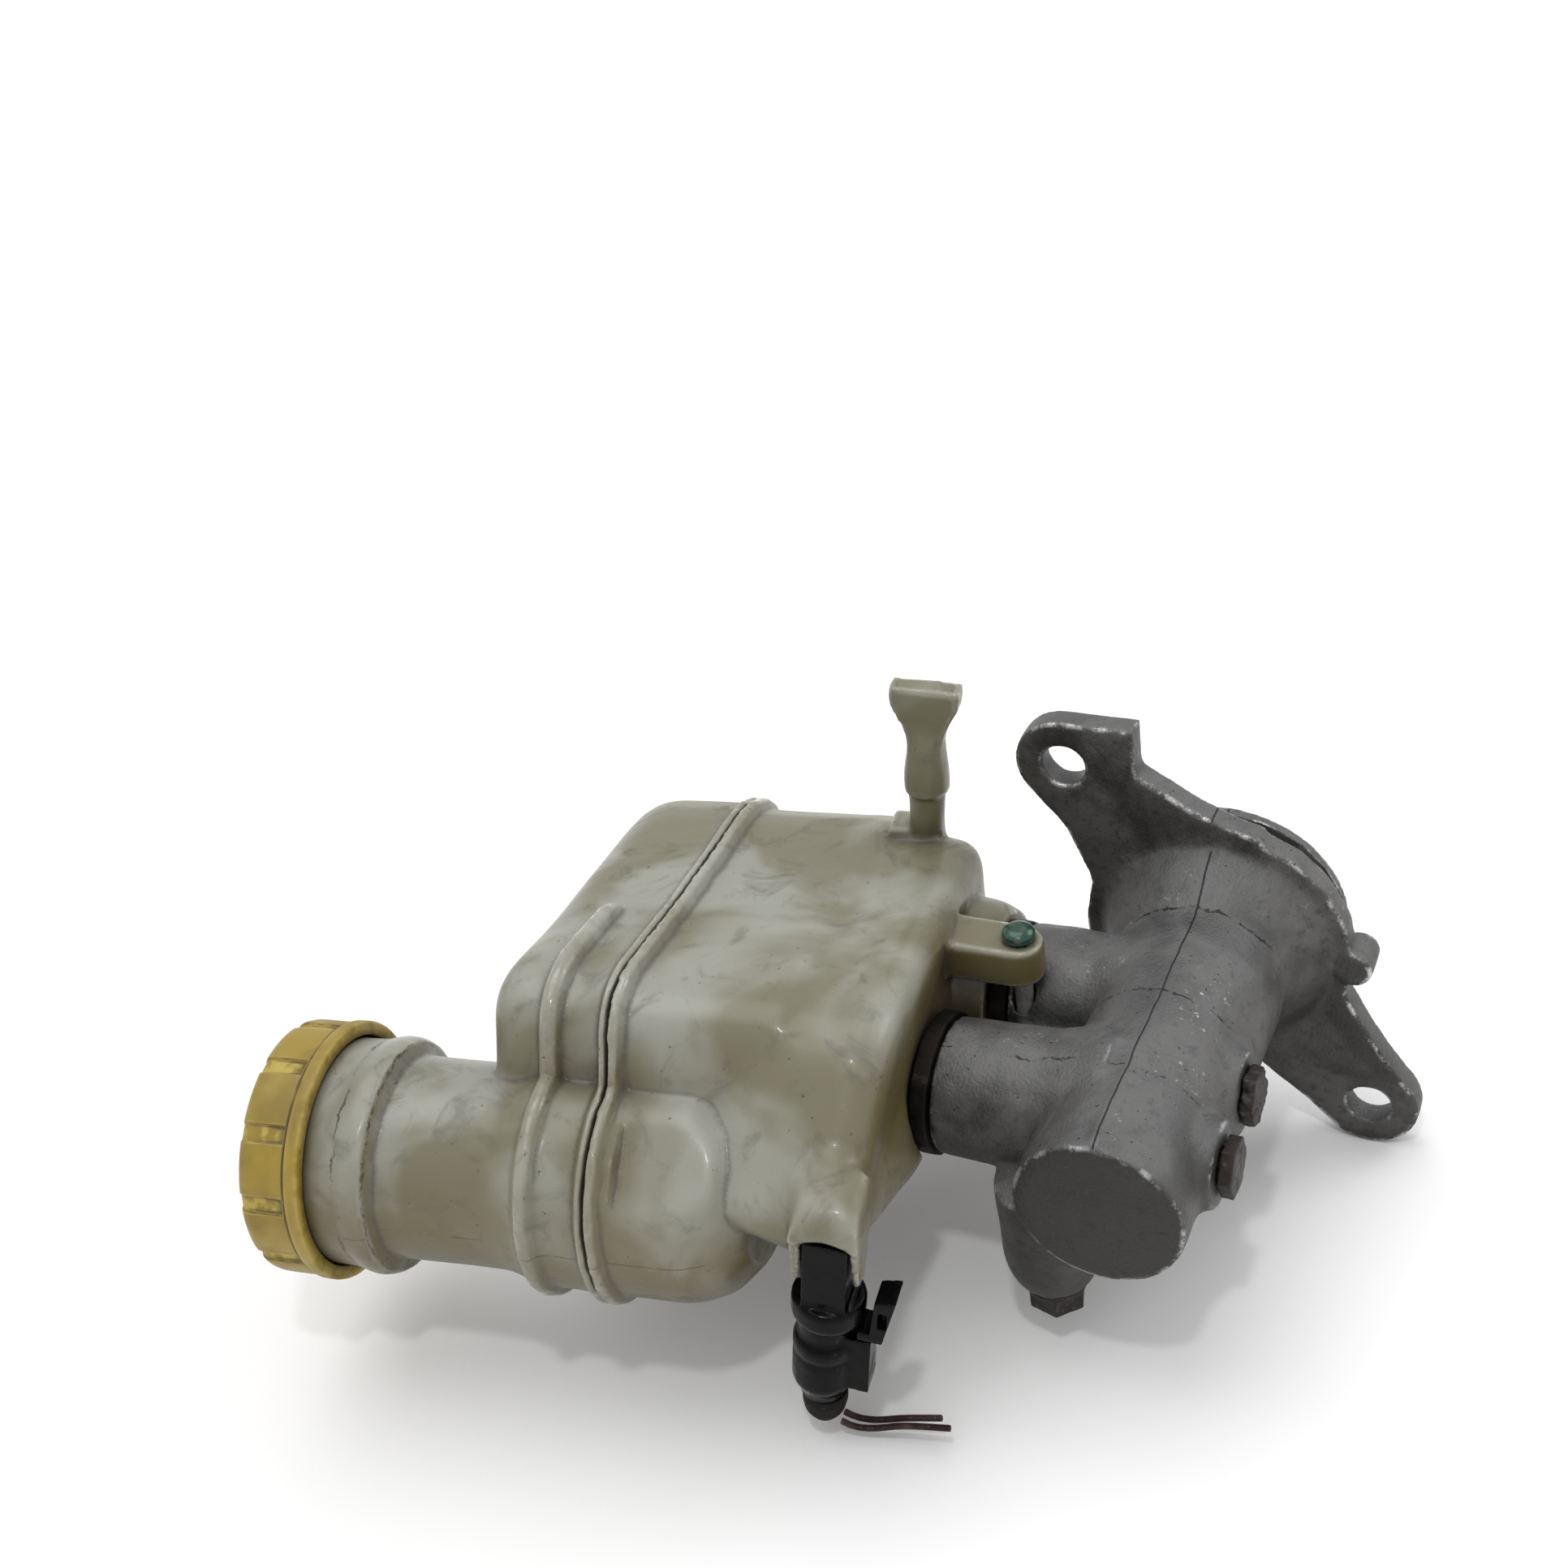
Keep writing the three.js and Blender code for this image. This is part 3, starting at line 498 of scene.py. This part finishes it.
def cast_aluminium():
    """Sand-cast grey metal with a dark parting line, dull stains and bright worn edges; painted light and
    shade give a paler top, glints, dark arcs, and darkening below, on the end face and in corners.
    """
    made, tree = new_material("cast_aluminium")
    stain = step(tree, cloud(tree, 16 * MM, 5, 0.6, 0.6), 0.36, 0.64)
    lit_from_above = step(tree, facing(tree, UP), 0.2, 0.9)
    # worn holds real wear on the edges and painted glints on surfaces that face up.
    worn = cast_wear_and_glints(tree, lit_from_above)
    colour = blend(tree, worn, cast_stains_and_shade(tree, stain, lit_from_above), (0.50, 0.50, 0.50))
    top = step(tree, along(tree, UP, ORIGIN), 8 * MM, 12 * MM)
    parting = parting_line(tree, top)
    colour = blend(tree, times(tree, parting, 0.9), colour, (0.010, 0.009, 0.009))
    # Painted shade: broken dark arcs at the barrel's shoulders.
    for centre in ARC_SHADE_LINES:
        colour = blend(tree, arc_shade_line(tree, centre, top), colour, (0.012, 0.011, 0.010))
    pits = step(tree, cloud(tree, 1.1 * MM, 2), 0.68, 0.74)
    colour = blend(tree, times(tree, pits, 0.85), colour, (0.014, 0.013, 0.012))
    layers = [
        (cloud(tree, 5 * MM, 4, 0.6), 0.5 * MM, 0.55),
        (cloud(tree, 0.6 * MM, 4, 0.6), 0.2 * MM, 0.9),
        (calc(tree, "SUBTRACT", 1.0, parting), 0.3 * MM, 0.8),
    ]
    finish_material(tree, {
        "Base Color": colour, "Metallic": between(tree, worn, 0.45, 0.9),
        "Roughness": between(tree, worn, between(tree, stain, 0.38, 0.58), 0.2),
        "Normal": bumps(tree, layers),
    })
    return made


def tank_shade(tree, smear):
    """Milky plastic, yellowed and darkened low on the sides, with painted shade underneath, and smeared."""
    broad = step(tree, cloud(tree, 30 * MM, 3, 0.5, 0.5), 0.40, 0.60)
    colour = blend(tree, broad, (0.278, 0.280, 0.236), (0.162, 0.152, 0.096))
    lit_from_above = step(tree, facing(tree, UP), 0.0, 0.85)
    blotch = step(tree, cloud(tree, 26 * MM, 2, 0.5, 1.0), 0.34, 0.62)
    # Low on the sides, the plastic's own yellowing, darkened as painted shade on faces that don't face up.
    lower = times(tree, calc(tree, "SUBTRACT", 1.0, lit_from_above), between(tree, blotch, 0.45, 0.95))
    lower = times(tree, lower, step(tree, along(tree, UP, ORIGIN), 34 * MM, 20 * MM))
    colour = blend(tree, lower, colour, (0.118, 0.096, 0.034))
    # Painted shade: faces that point down are darkened brown.
    underside_shade = step(tree, facing(tree, UP), 0.1, -0.7)
    colour = blend(tree, times(tree, underside_shade, 0.6), colour, (0.048, 0.037, 0.022))
    return blend(tree, times(tree, smear, 0.5), colour, (0.075, 0.066, 0.046))


def tank_edge_shading(tree, colour, ridge):
    """Painted shade in corners and hollows, and a painted highlight of paler plastic on the ridges."""
    # Painted shade: corners darkened brown by how much of the surroundings covers them.
    corner = recess(tree, 8 * MM, 0.86, 0.42)
    colour = blend(tree, times(tree, corner, 0.8), colour, (0.040, 0.031, 0.021))
    # Painted shade: creases and hollows darkened brown.
    hollow_shade = edges(tree, 0.497, 0.465)
    colour = blend(tree, times(tree, hollow_shade, 0.6), colour, (0.040, 0.032, 0.022))
    # Painted highlight: ridges made paler.
    return blend(tree, times(tree, ridge, 0.35), colour, (0.36, 0.355, 0.30))


def tank_lines(tree):
    """Share of the broken dark lines: the weld, two rings round the neck and the mould's line in front."""
    height = along(tree, NECK_AXIS, NECK_POINT)
    weld = ring_line(tree, height, SEAM_HEIGHT - SEAM_GAP / 2, 0.3 * MM, 0.5 * MM)
    low_ring = ring_line(tree, height, SEAM_HEIGHT + 44 * MM, 0.22 * MM, 1.4 * MM)
    high_ring = ring_line(tree, height, SEAM_HEIGHT + 50 * MM, 0.40 * MM, 3.2 * MM)
    lines = calc(tree, "MAXIMUM", calc(tree, "MAXIMUM", weld, low_ring), high_ring)
    mould = step(tree, calc(tree, "ABSOLUTE", along(tree, UP, NECK_POINT)), 0.20 * MM, 0.06 * MM)
    mould = times(tree, mould, step(tree, facing(tree, FORWARD), 0.3, 0.8))
    lines = calc(tree, "MAXIMUM", lines, times(tree, mould, 0.85))
    broken = step(tree, cloud(tree, 6 * MM, 5, 0.75), 0.42, 0.56)
    return times(tree, lines, broken)


def tank_plastic():
    """Aged milky plastic: yellowed below, painted shade in the corners and a painted highlight on the ridges,
    dark fluff on the lines.
    """
    made, tree = new_material("tank_plastic")
    smear = step(tree, cloud(tree, 11 * MM, 6, 0.62, 1.2), 0.50, 0.72)
    # ridge drives the painted highlight on the ridges and their wet gloss.
    ridge = edges(tree, 0.507, 0.54)
    colour = tank_edge_shading(tree, tank_shade(tree, smear), ridge)
    colour = blend(tree, times(tree, tank_lines(tree), 0.85), colour, (0.028, 0.022, 0.017))
    specks = step(tree, cloud(tree, 1.6 * MM, 3, 0.6), 0.70, 0.73)
    colour = blend(tree, times(tree, specks, 0.8), colour, (0.025, 0.021, 0.016))
    wet = times(tree, ridge, step(tree, cloud(tree, 3 * MM, 4, 0.7), 0.50, 0.56))
    rough = between(tree, wet, between(tree, smear, 0.34, 0.55), 0.08)
    layers = [(cloud(tree, 8 * MM, 3), 0.5 * MM, 0.3), (cloud(tree, 1.0 * MM, 4), 0.05 * MM, 0.5)]
    finish_material(tree, {
        "Base Color": colour, "Roughness": rough, "Normal": bumps(tree, layers),
        "Subsurface Weight": 0.3, "Subsurface Scale": 2.5 * MM,
        "Subsurface Radius": (1.0, 0.9, 0.55),
        "Coat Weight": between(tree, wet, 0.08, 0.8), "Coat Roughness": 0.08,
    })
    return made


def cap_yellow():
    """Mustard plastic, brighter where fingers polished the notches, dark dirt at their edges."""
    made, tree = new_material("cap_yellow")
    notch = add(tree, "ShaderNodeAttribute", attribute_name="notch").outputs["Fac"]
    broad = step(tree, cloud(tree, 12 * MM, 3), 0.38, 0.64)
    colour = blend(tree, broad, (0.295, 0.205, 0.022), (0.215, 0.148, 0.018))
    polished = times(tree, step(tree, notch, 0.55, 0.95), step(tree, cloud(tree, 3 * MM, 4), 0.40, 0.55))
    colour = blend(tree, times(tree, polished, 0.8), colour, (0.46, 0.355, 0.06))
    flank = times(tree, step(tree, notch, 0.04, 0.3), step(tree, notch, 0.75, 0.45))
    dirt = times(tree, flank, step(tree, cloud(tree, 2 * MM, 4), 0.42, 0.58))
    colour = blend(tree, times(tree, dirt, 0.7), colour, (0.05, 0.038, 0.02))
    worn = times(tree, edges(tree, 0.51, 0.56), step(tree, cloud(tree, 4 * MM, 4), 0.38, 0.55))
    colour = blend(tree, times(tree, worn, 0.6), colour, (0.46, 0.335, 0.08))
    # Painted shade: creases and hollows of the cap darkened.
    hollow_shade = edges(tree, 0.492, 0.455)
    colour = blend(tree, times(tree, hollow_shade, 0.8), colour, (0.05, 0.04, 0.02))
    low = heights_along_neck("filler_cap")[0]
    height = calc(tree, "SUBTRACT", along(tree, NECK_AXIS, NECK_POINT), low)
    rim = step(tree, calc(tree, "ABSOLUTE", calc(tree, "SUBTRACT", height, 3.0 * MM)), 0.5 * MM, 0.15 * MM)
    rim = times(tree, rim, step(tree, cloud(tree, 5 * MM, 4), 0.40, 0.52))
    colour = blend(tree, times(tree, rim, 0.75), colour, (0.035, 0.027, 0.015))
    scratch = step(tree, cloud(tree, 1.0 * MM, 5, 0.75), 0.62, 0.72)
    colour = blend(tree, times(tree, scratch, 0.3), colour, (0.12, 0.09, 0.035))
    layers = [(cloud(tree, 3 * MM, 3), 0.15 * MM, 0.4), (cloud(tree, 0.5 * MM, 3), 0.03 * MM, 0.5)]
    finish_material(tree, {
        "Base Color": colour, "Roughness": between(tree, broad, 0.42, 0.58),
        "Normal": bumps(tree, layers), "Subsurface Weight": 0.08, "Subsurface Scale": 1 * MM,
    })
    return made


def dark_moulding(name, base, dust, gloss, dull, grain):
    """Black rubber or plastic with a film of dust and oil."""
    made, tree = new_material(name)
    film = step(tree, cloud(tree, 6 * MM, 4, 0.6), 0.42, 0.68)
    colour = blend(tree, film, base, dust)
    worn = times(tree, edges(tree, 0.53, 0.60), 0.5)
    colour = blend(tree, worn, colour, tuple(2 * c + 0.01 for c in dust))
    rough = between(tree, film, gloss, dull)
    layers = [(cloud(tree, 2 * MM, 3), 0.1 * MM, 0.4), (cloud(tree, 0.5 * MM, 3), grain, 0.6)]
    finish_material(tree, {
        "Base Color": colour, "Roughness": rough, "Normal": bumps(tree, layers),
        "Specular IOR Level": 0.09,
    })
    return made


def steel(name, base, stain_colour, roughness, stain_share, worn_share):
    """Machined or oxidised steel with stains."""
    made, tree = new_material(name)
    stain = step(tree, cloud(tree, 3 * MM, 5, 0.65), 0.46, 0.66)
    colour = blend(tree, times(tree, stain, stain_share), base, stain_colour)
    worn = times(tree, edges(tree, 0.52, 0.57), worn_share)
    colour = blend(tree, worn, colour, (0.42, 0.41, 0.40))
    rough = between(tree, stain, roughness, min(0.85, roughness + 0.25))
    layers = [(cloud(tree, 1.2 * MM, 4), 0.1 * MM, 0.5)]
    finish_material(tree, {
        "Base Color": colour, "Metallic": between(tree, stain, 0.9, 0.5),
        "Roughness": rough, "Normal": bumps(tree, layers),
    })
    return made


def green_pin():
    """Dark green head on a plain grey shank."""
    made, tree = new_material("green_pin")
    head_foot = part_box("retaining_pin")[1].z - 4 * MM
    head = step(tree, along(tree, UP, (0, 0, head_foot)), -0.2 * MM, 0.2 * MM)
    chip = step(tree, cloud(tree, 1.6 * MM, 4), 0.56, 0.64)
    green = blend(tree, chip, (0.012, 0.055, 0.034), (0.05, 0.06, 0.05))
    colour = blend(tree, head, (0.30, 0.29, 0.28), green)
    finish_material(tree, {
        "Base Color": colour, "Metallic": between(tree, head, 0.3, 0.25),
        "Roughness": between(tree, chip, 0.22, 0.5), "Coat Weight": 0.3,
        "Normal": bumps(tree, [(cloud(tree, 0.8 * MM, 3), 0.06 * MM, 0.5)]),
    })
    return made


def white_plastic():
    """Off-white plastic with brown stains."""
    made, tree = new_material("white_plastic")
    stain = step(tree, cloud(tree, 7 * MM, 4), 0.42, 0.68)
    colour = blend(tree, stain, (0.68, 0.66, 0.58), (0.42, 0.37, 0.26))
    finish_material(tree, {
        "Base Color": colour, "Roughness": between(tree, stain, 0.35, 0.55),
        "Normal": bumps(tree, [(cloud(tree, 0.7 * MM, 3), 0.04 * MM, 0.5)]),
    })
    return made


materials = {
    "cast_aluminium": cast_aluminium(),
    "tank_plastic": tank_plastic(),
    "cap_yellow": cap_yellow(),
    "black_rubber": dark_moulding(
        "black_rubber", (0.006, 0.0052, 0.0045), (0.016, 0.013, 0.011), 0.45, 0.7, 0.05 * MM),
    "black_plastic": dark_moulding(
        "black_plastic", (0.002, 0.002, 0.0022), (0.005, 0.0045, 0.004), 0.14, 0.40, 0.02 * MM),
    "lead_cover": dark_moulding(
        "lead_cover", (0.03, 0.016, 0.018), (0.07, 0.045, 0.042), 0.3, 0.6, 0.03 * MM),
    "steel": steel("steel", (0.45, 0.45, 0.46), (0.18, 0.16, 0.14), 0.28, 0.5, 0.6),
    "dark_steel": steel("dark_steel", (0.040, 0.036, 0.034), (0.022, 0.013, 0.009), 0.5, 0.8, 0.06),
    "green_pin": green_pin(),
    "white_plastic": white_plastic(),
}
slot_of = {sub["node"]: sub["material_slot"] for sub in frame["record"]["subparts"]}


def paint(piece, slot):
    """Gives a piece one material."""
    piece.data.materials.clear()
    piece.data.materials.append(materials[slot])


# ---------- Filler cap ----------

CAP_STEPS = 660  # points round each ring
NOTCHES = 11
NOTCH_DEPTH = 0.75 * MM
NOTCH_HALF_WIDTH = 0.062  # radians, as is the flank
NOTCH_FLANK = 0.016


def notch_share(angle):
    """1 in the middle of each of the evenly spaced notches, 0 between them."""
    pitch = 2 * math.pi / NOTCHES
    offset = abs((angle + pitch / 2) % pitch - pitch / 2)
    share = min(1.0, max(0.0, (NOTCH_HALF_WIDTH + NOTCH_FLANK - offset) / NOTCH_FLANK))
    return share * share * (3 - 2 * share)


def cap_profile(radius, top):
    """Rings of the cap from its mouth over the outside to the inside: radius, height, notched share."""
    body = radius - 0.5 * MM
    inner = body - 2.1 * MM
    return [
        (inner, 0, 0), (radius - 0.5 * MM, 0, 0), (radius - 0.1 * MM, 0.2 * MM, 0),
        (radius, 0.6 * MM, 0), (radius, 1.6 * MM, 0), (radius - 0.05 * MM, 2.4 * MM, 0),
        (body + 0.2 * MM, 2.75 * MM, 0), (body - 0.25 * MM, 3.0 * MM, 0), (body - 0.1 * MM, 3.3 * MM, 0),
        (body, 3.5 * MM, 0.3), (body, 3.9 * MM, 1), (body, 5.5 * MM, 1), (body, 7.5 * MM, 1),
        (body, top - 3.4 * MM, 1), (body - 0.05 * MM, top - 2.2 * MM, 1),
        (body - 0.25 * MM, top - 1.3 * MM, 1), (body - 0.75 * MM, top - 0.6 * MM, 0.9),
        (body - 1.5 * MM, top - 0.15 * MM, 0.6), (body - 2.4 * MM, top, 0.15),
        (body - 3.4 * MM, top, 0), (body - 3.9 * MM, top - 0.3 * MM, 0), (body - 4.4 * MM, top - 0.6 * MM, 0),
        (body * 0.55, top - 0.5 * MM, 0), (body * 0.25, top - 0.4 * MM, 0), (0.4 * MM, top - 0.4 * MM, 0),
        (0.4 * MM, top - 1.5 * MM, 0), (inner - 0.8 * MM, top - 1.5 * MM, 0), (inner, top - 2.2 * MM, 0),
        (inner, 1 * MM, 0),
    ]


def first_notch_angle():
    """Angle of the CAD cap's first notch about the neck axis, in the cap's own drawing frame."""
    turn = NECK_AXIS.to_track_quat("Z", "Y").to_matrix()
    forward = turn.inverted() @ NECK_AXIS.cross(Vector(UP)).normalized()
    return math.atan2(forward.y, forward.x)


def cap_points(profile):
    """Points of all rings of the cap, and at each point how deep it lies in a notch, from 0 to 1."""
    first_notch = first_notch_angle()
    points, shares = [], []
    for radius, height, notched in profile:
        for k in range(CAP_STEPS):
            angle = 2 * math.pi * k / CAP_STEPS
            share = notched * notch_share(angle - first_notch)
            reach = radius - NOTCH_DEPTH * share
            points.append((reach * math.cos(angle), reach * math.sin(angle), height))
            shares.append(share)
    return points, shares


def ring_faces(rings, around):
    """Quads between each ring of points and the next, and from the last ring to the first."""
    faces = []
    for ring in range(rings):
        here, there = ring * around, (ring + 1) % rings * around
        for k in range(around):
            k_next = (k + 1) % around
            faces.append((here + k, here + k_next, there + k_next, there + k))
    return faces


def filler_cap():
    """The screw cap with its notched grip, as one fine turned surface."""
    low, high = heights_along_neck("filler_cap")
    profile = cap_profile(radius_about_neck("filler_cap"), high - low)
    points, shares = cap_points(profile)
    piece = new_mesh_object("cap_shell", points, ring_faces(len(profile), CAP_STEPS))
    attribute = piece.data.attributes.new("notch", "FLOAT", "POINT")
    attribute.data.foreach_set("value", shares)
    turn = NECK_AXIS.to_track_quat("Z", "Y").to_matrix().to_4x4()
    piece.data.transform(Matrix.Translation(NECK_POINT + NECK_AXIS * low) @ turn)
    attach(piece, "cap")
    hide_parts("filler_cap")
    return piece


# ---------- Pieces ----------

def build_pieces():
    """Makes every piece: a fine one for what shows, the CAD part itself for what lies inside."""
    grain_cast = [(13 * MM, 0.16 * MM), (3.5 * MM, 0.08 * MM)]
    grain_tank = [(24 * MM, 0.35 * MM), (8 * MM, 0.1 * MM)]
    fine = [
        ("cylinder_body", "cylinder_casting", 0.62 * MM, 30, 2, grain_cast),
        ("reservoir_lower", "tank_lower_shell", 0.68 * MM, 60, 2, grain_tank),
        ("reservoir_upper", "tank_upper_shell", 0.66 * MM, 60, 2, grain_tank),
        ("front_grommet", "front_grommet_rubber", 0.4 * MM, 40, 2, []),
        ("rear_grommet", "rear_grommet_rubber", 0.4 * MM, 40, 2, []),
        ("retaining_pin", "retaining_pin_turned", 0.22 * MM, 40, 1, []),
        ("stop_bolt", "stop_bolt_head", 0.25 * MM, 20, 1, [(1.5 * MM, 0.08 * MM)]),
        ("front_outlet_plug", "front_outlet_hex", 0.25 * MM, 20, 1, [(1.5 * MM, 0.1 * MM)]),
        ("rear_outlet_plug", "rear_outlet_hex", 0.25 * MM, 20, 1, [(3 * MM, 0.5 * MM), (1 * MM, 0.2 * MM)]),
        ("level_sensor", "level_sensor_body", 0.28 * MM, 40, 1, []),
        ("harness_plug", "harness_plug_body", 0.28 * MM, 40, 1, []),
        ("plug_latch", "plug_latch_clip", 0.22 * MM, 8, 1, []),
        ("wire_boot", "wire_boot_rubber", 0.25 * MM, 40, 1, []),
        ("wire_brown", "wire_brown_cover", 0.14 * MM, 20, 2, []),
        ("wire_violet", "wire_violet_cover", 0.14 * MM, 20, 2, []),
    ]
    for node, name, voxel, rounds, soften, grains in fine:
        crease = TANK_CREASE if node.startswith("reservoir") else CREASE
        piece = refine(node, name, voxel, rounds, crease, soften, grains)
        paint(piece, slot_of[node])
    paint(filler_cap(), "cap_yellow")
    return_spring("primary_spring", "primary_return_spring")
    return_spring("secondary_spring", "secondary_return_spring")
    done = {row[0] for row in fine} | {"filler_cap", "primary_spring", "secondary_spring"}
    for node, piece in frame["nodes"].items():
        if node not in done:
            smooth_inner_part(piece)
            paint(piece, slot_of[node])


def return_spring(node, name):
    """A coil spring with a fine surface, its material and a mesh of its own."""
    piece = refine(node, name, 0.25 * MM, rounds=10, soften=2)
    paint(piece, slot_of[node])
    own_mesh(piece)


def smooth_inner_part(piece):
    """Inner CAD parts keep their mesh and get a fine remeshed surface by modifiers."""
    size = max(piece.dimensions)
    remesh = piece.modifiers.new("fine", "REMESH")
    remesh.mode = "VOXEL"
    remesh.voxel_size = min(0.4 * MM, max(0.2 * MM, size / 120))
    remesh.use_smooth_shade = True
    soften = piece.modifiers.new("soften", "SMOOTH")
    soften.factor = 0.5
    soften.iterations = 5


# ---------- Stage, light and camera ----------

def floor():
    """A plain pale floor just under the part."""
    bpy.ops.mesh.primitive_plane_add(size=20, location=(0, 0, cad_low.z - 0.2 * MM))
    plane = bpy.context.object
    plane.name = "floor"
    made, tree = new_material("floor_paper")
    finish_material(tree, {"Base Color": (0.9, 0.9, 0.9, 1), "Roughness": 0.95, "Specular IOR Level": 0.0})
    plane.data.materials.append(made)


def lamp(kind, name, position, aim, power):
    """A lamp at a position that looks at its aim."""
    data = bpy.data.lights.new(name, kind)
    data.energy = power
    made = bpy.data.objects.new(name, data)
    made.location = position
    made.rotation_mode = "QUATERNION"
    made.rotation_quaternion = (Vector(aim) - Vector(position)).to_track_quat("-Z", "Y")
    bpy.context.scene.collection.objects.link(made)
    return data


def lights():
    """Soft light from above, two weaker lamps and a white room."""
    middle = (cad_low + cad_high) / 2
    sky = lamp("SUN", "key", middle + Vector((-0.1, -0.25, 1)), middle, 1.0)
    sky.angle = 50 * DEG
    rim = lamp("AREA", "rim", middle + Vector((-0.5, 0.5, 0.5)), middle, 1.2)
    rim.size = 0.4
    sparkle = lamp("AREA", "sparkle", middle + Vector((0.35, 0.15, 0.8)), middle, 1.2)
    sparkle.size = 0.05
    world = bpy.data.worlds.new("room")
    world.use_nodes = True
    world.node_tree.nodes["Background"].inputs["Color"].default_value = (1, 1, 1, 1)
    seen = add(world.node_tree, "ShaderNodeLightPath").outputs["Is Camera Ray"]
    strength = between(world.node_tree, seen, 0.78, 1.0)
    world.node_tree.links.new(strength, world.node_tree.nodes["Background"].inputs["Strength"])
    bpy.context.scene.world = world


def camera():
    """The camera stands at the object's front left, looking down at it, turned a little to the right."""
    azimuth, elevation, roll = 119.2 * DEG, 34.3 * DEG, 9.5 * DEG
    distance = 0.470
    aim = Vector((0.0209, -0.0830, 0.0364))
    flat = math.cos(elevation)
    back = Vector((math.sin(azimuth) * flat, -math.cos(azimuth) * flat, math.sin(elevation)))
    data = bpy.data.cameras.new("camera")
    data.lens = 53.76
    data.sensor_width = 36
    data.clip_start = 0.01
    made = bpy.data.objects.new("camera", data)
    made.location = aim + back * distance
    made.rotation_mode = "QUATERNION"
    level = (-back).to_track_quat("-Z", "Y")
    made.rotation_quaternion = level @ Matrix.Rotation(-roll, 3, "Z").to_quaternion()
    bpy.context.scene.collection.objects.link(made)
    bpy.context.scene.camera = made


build_pieces()
floor()
lights()
camera()
bpy.context.scene.view_settings.view_transform = "Standard"
bpy.context.view_layer.update()
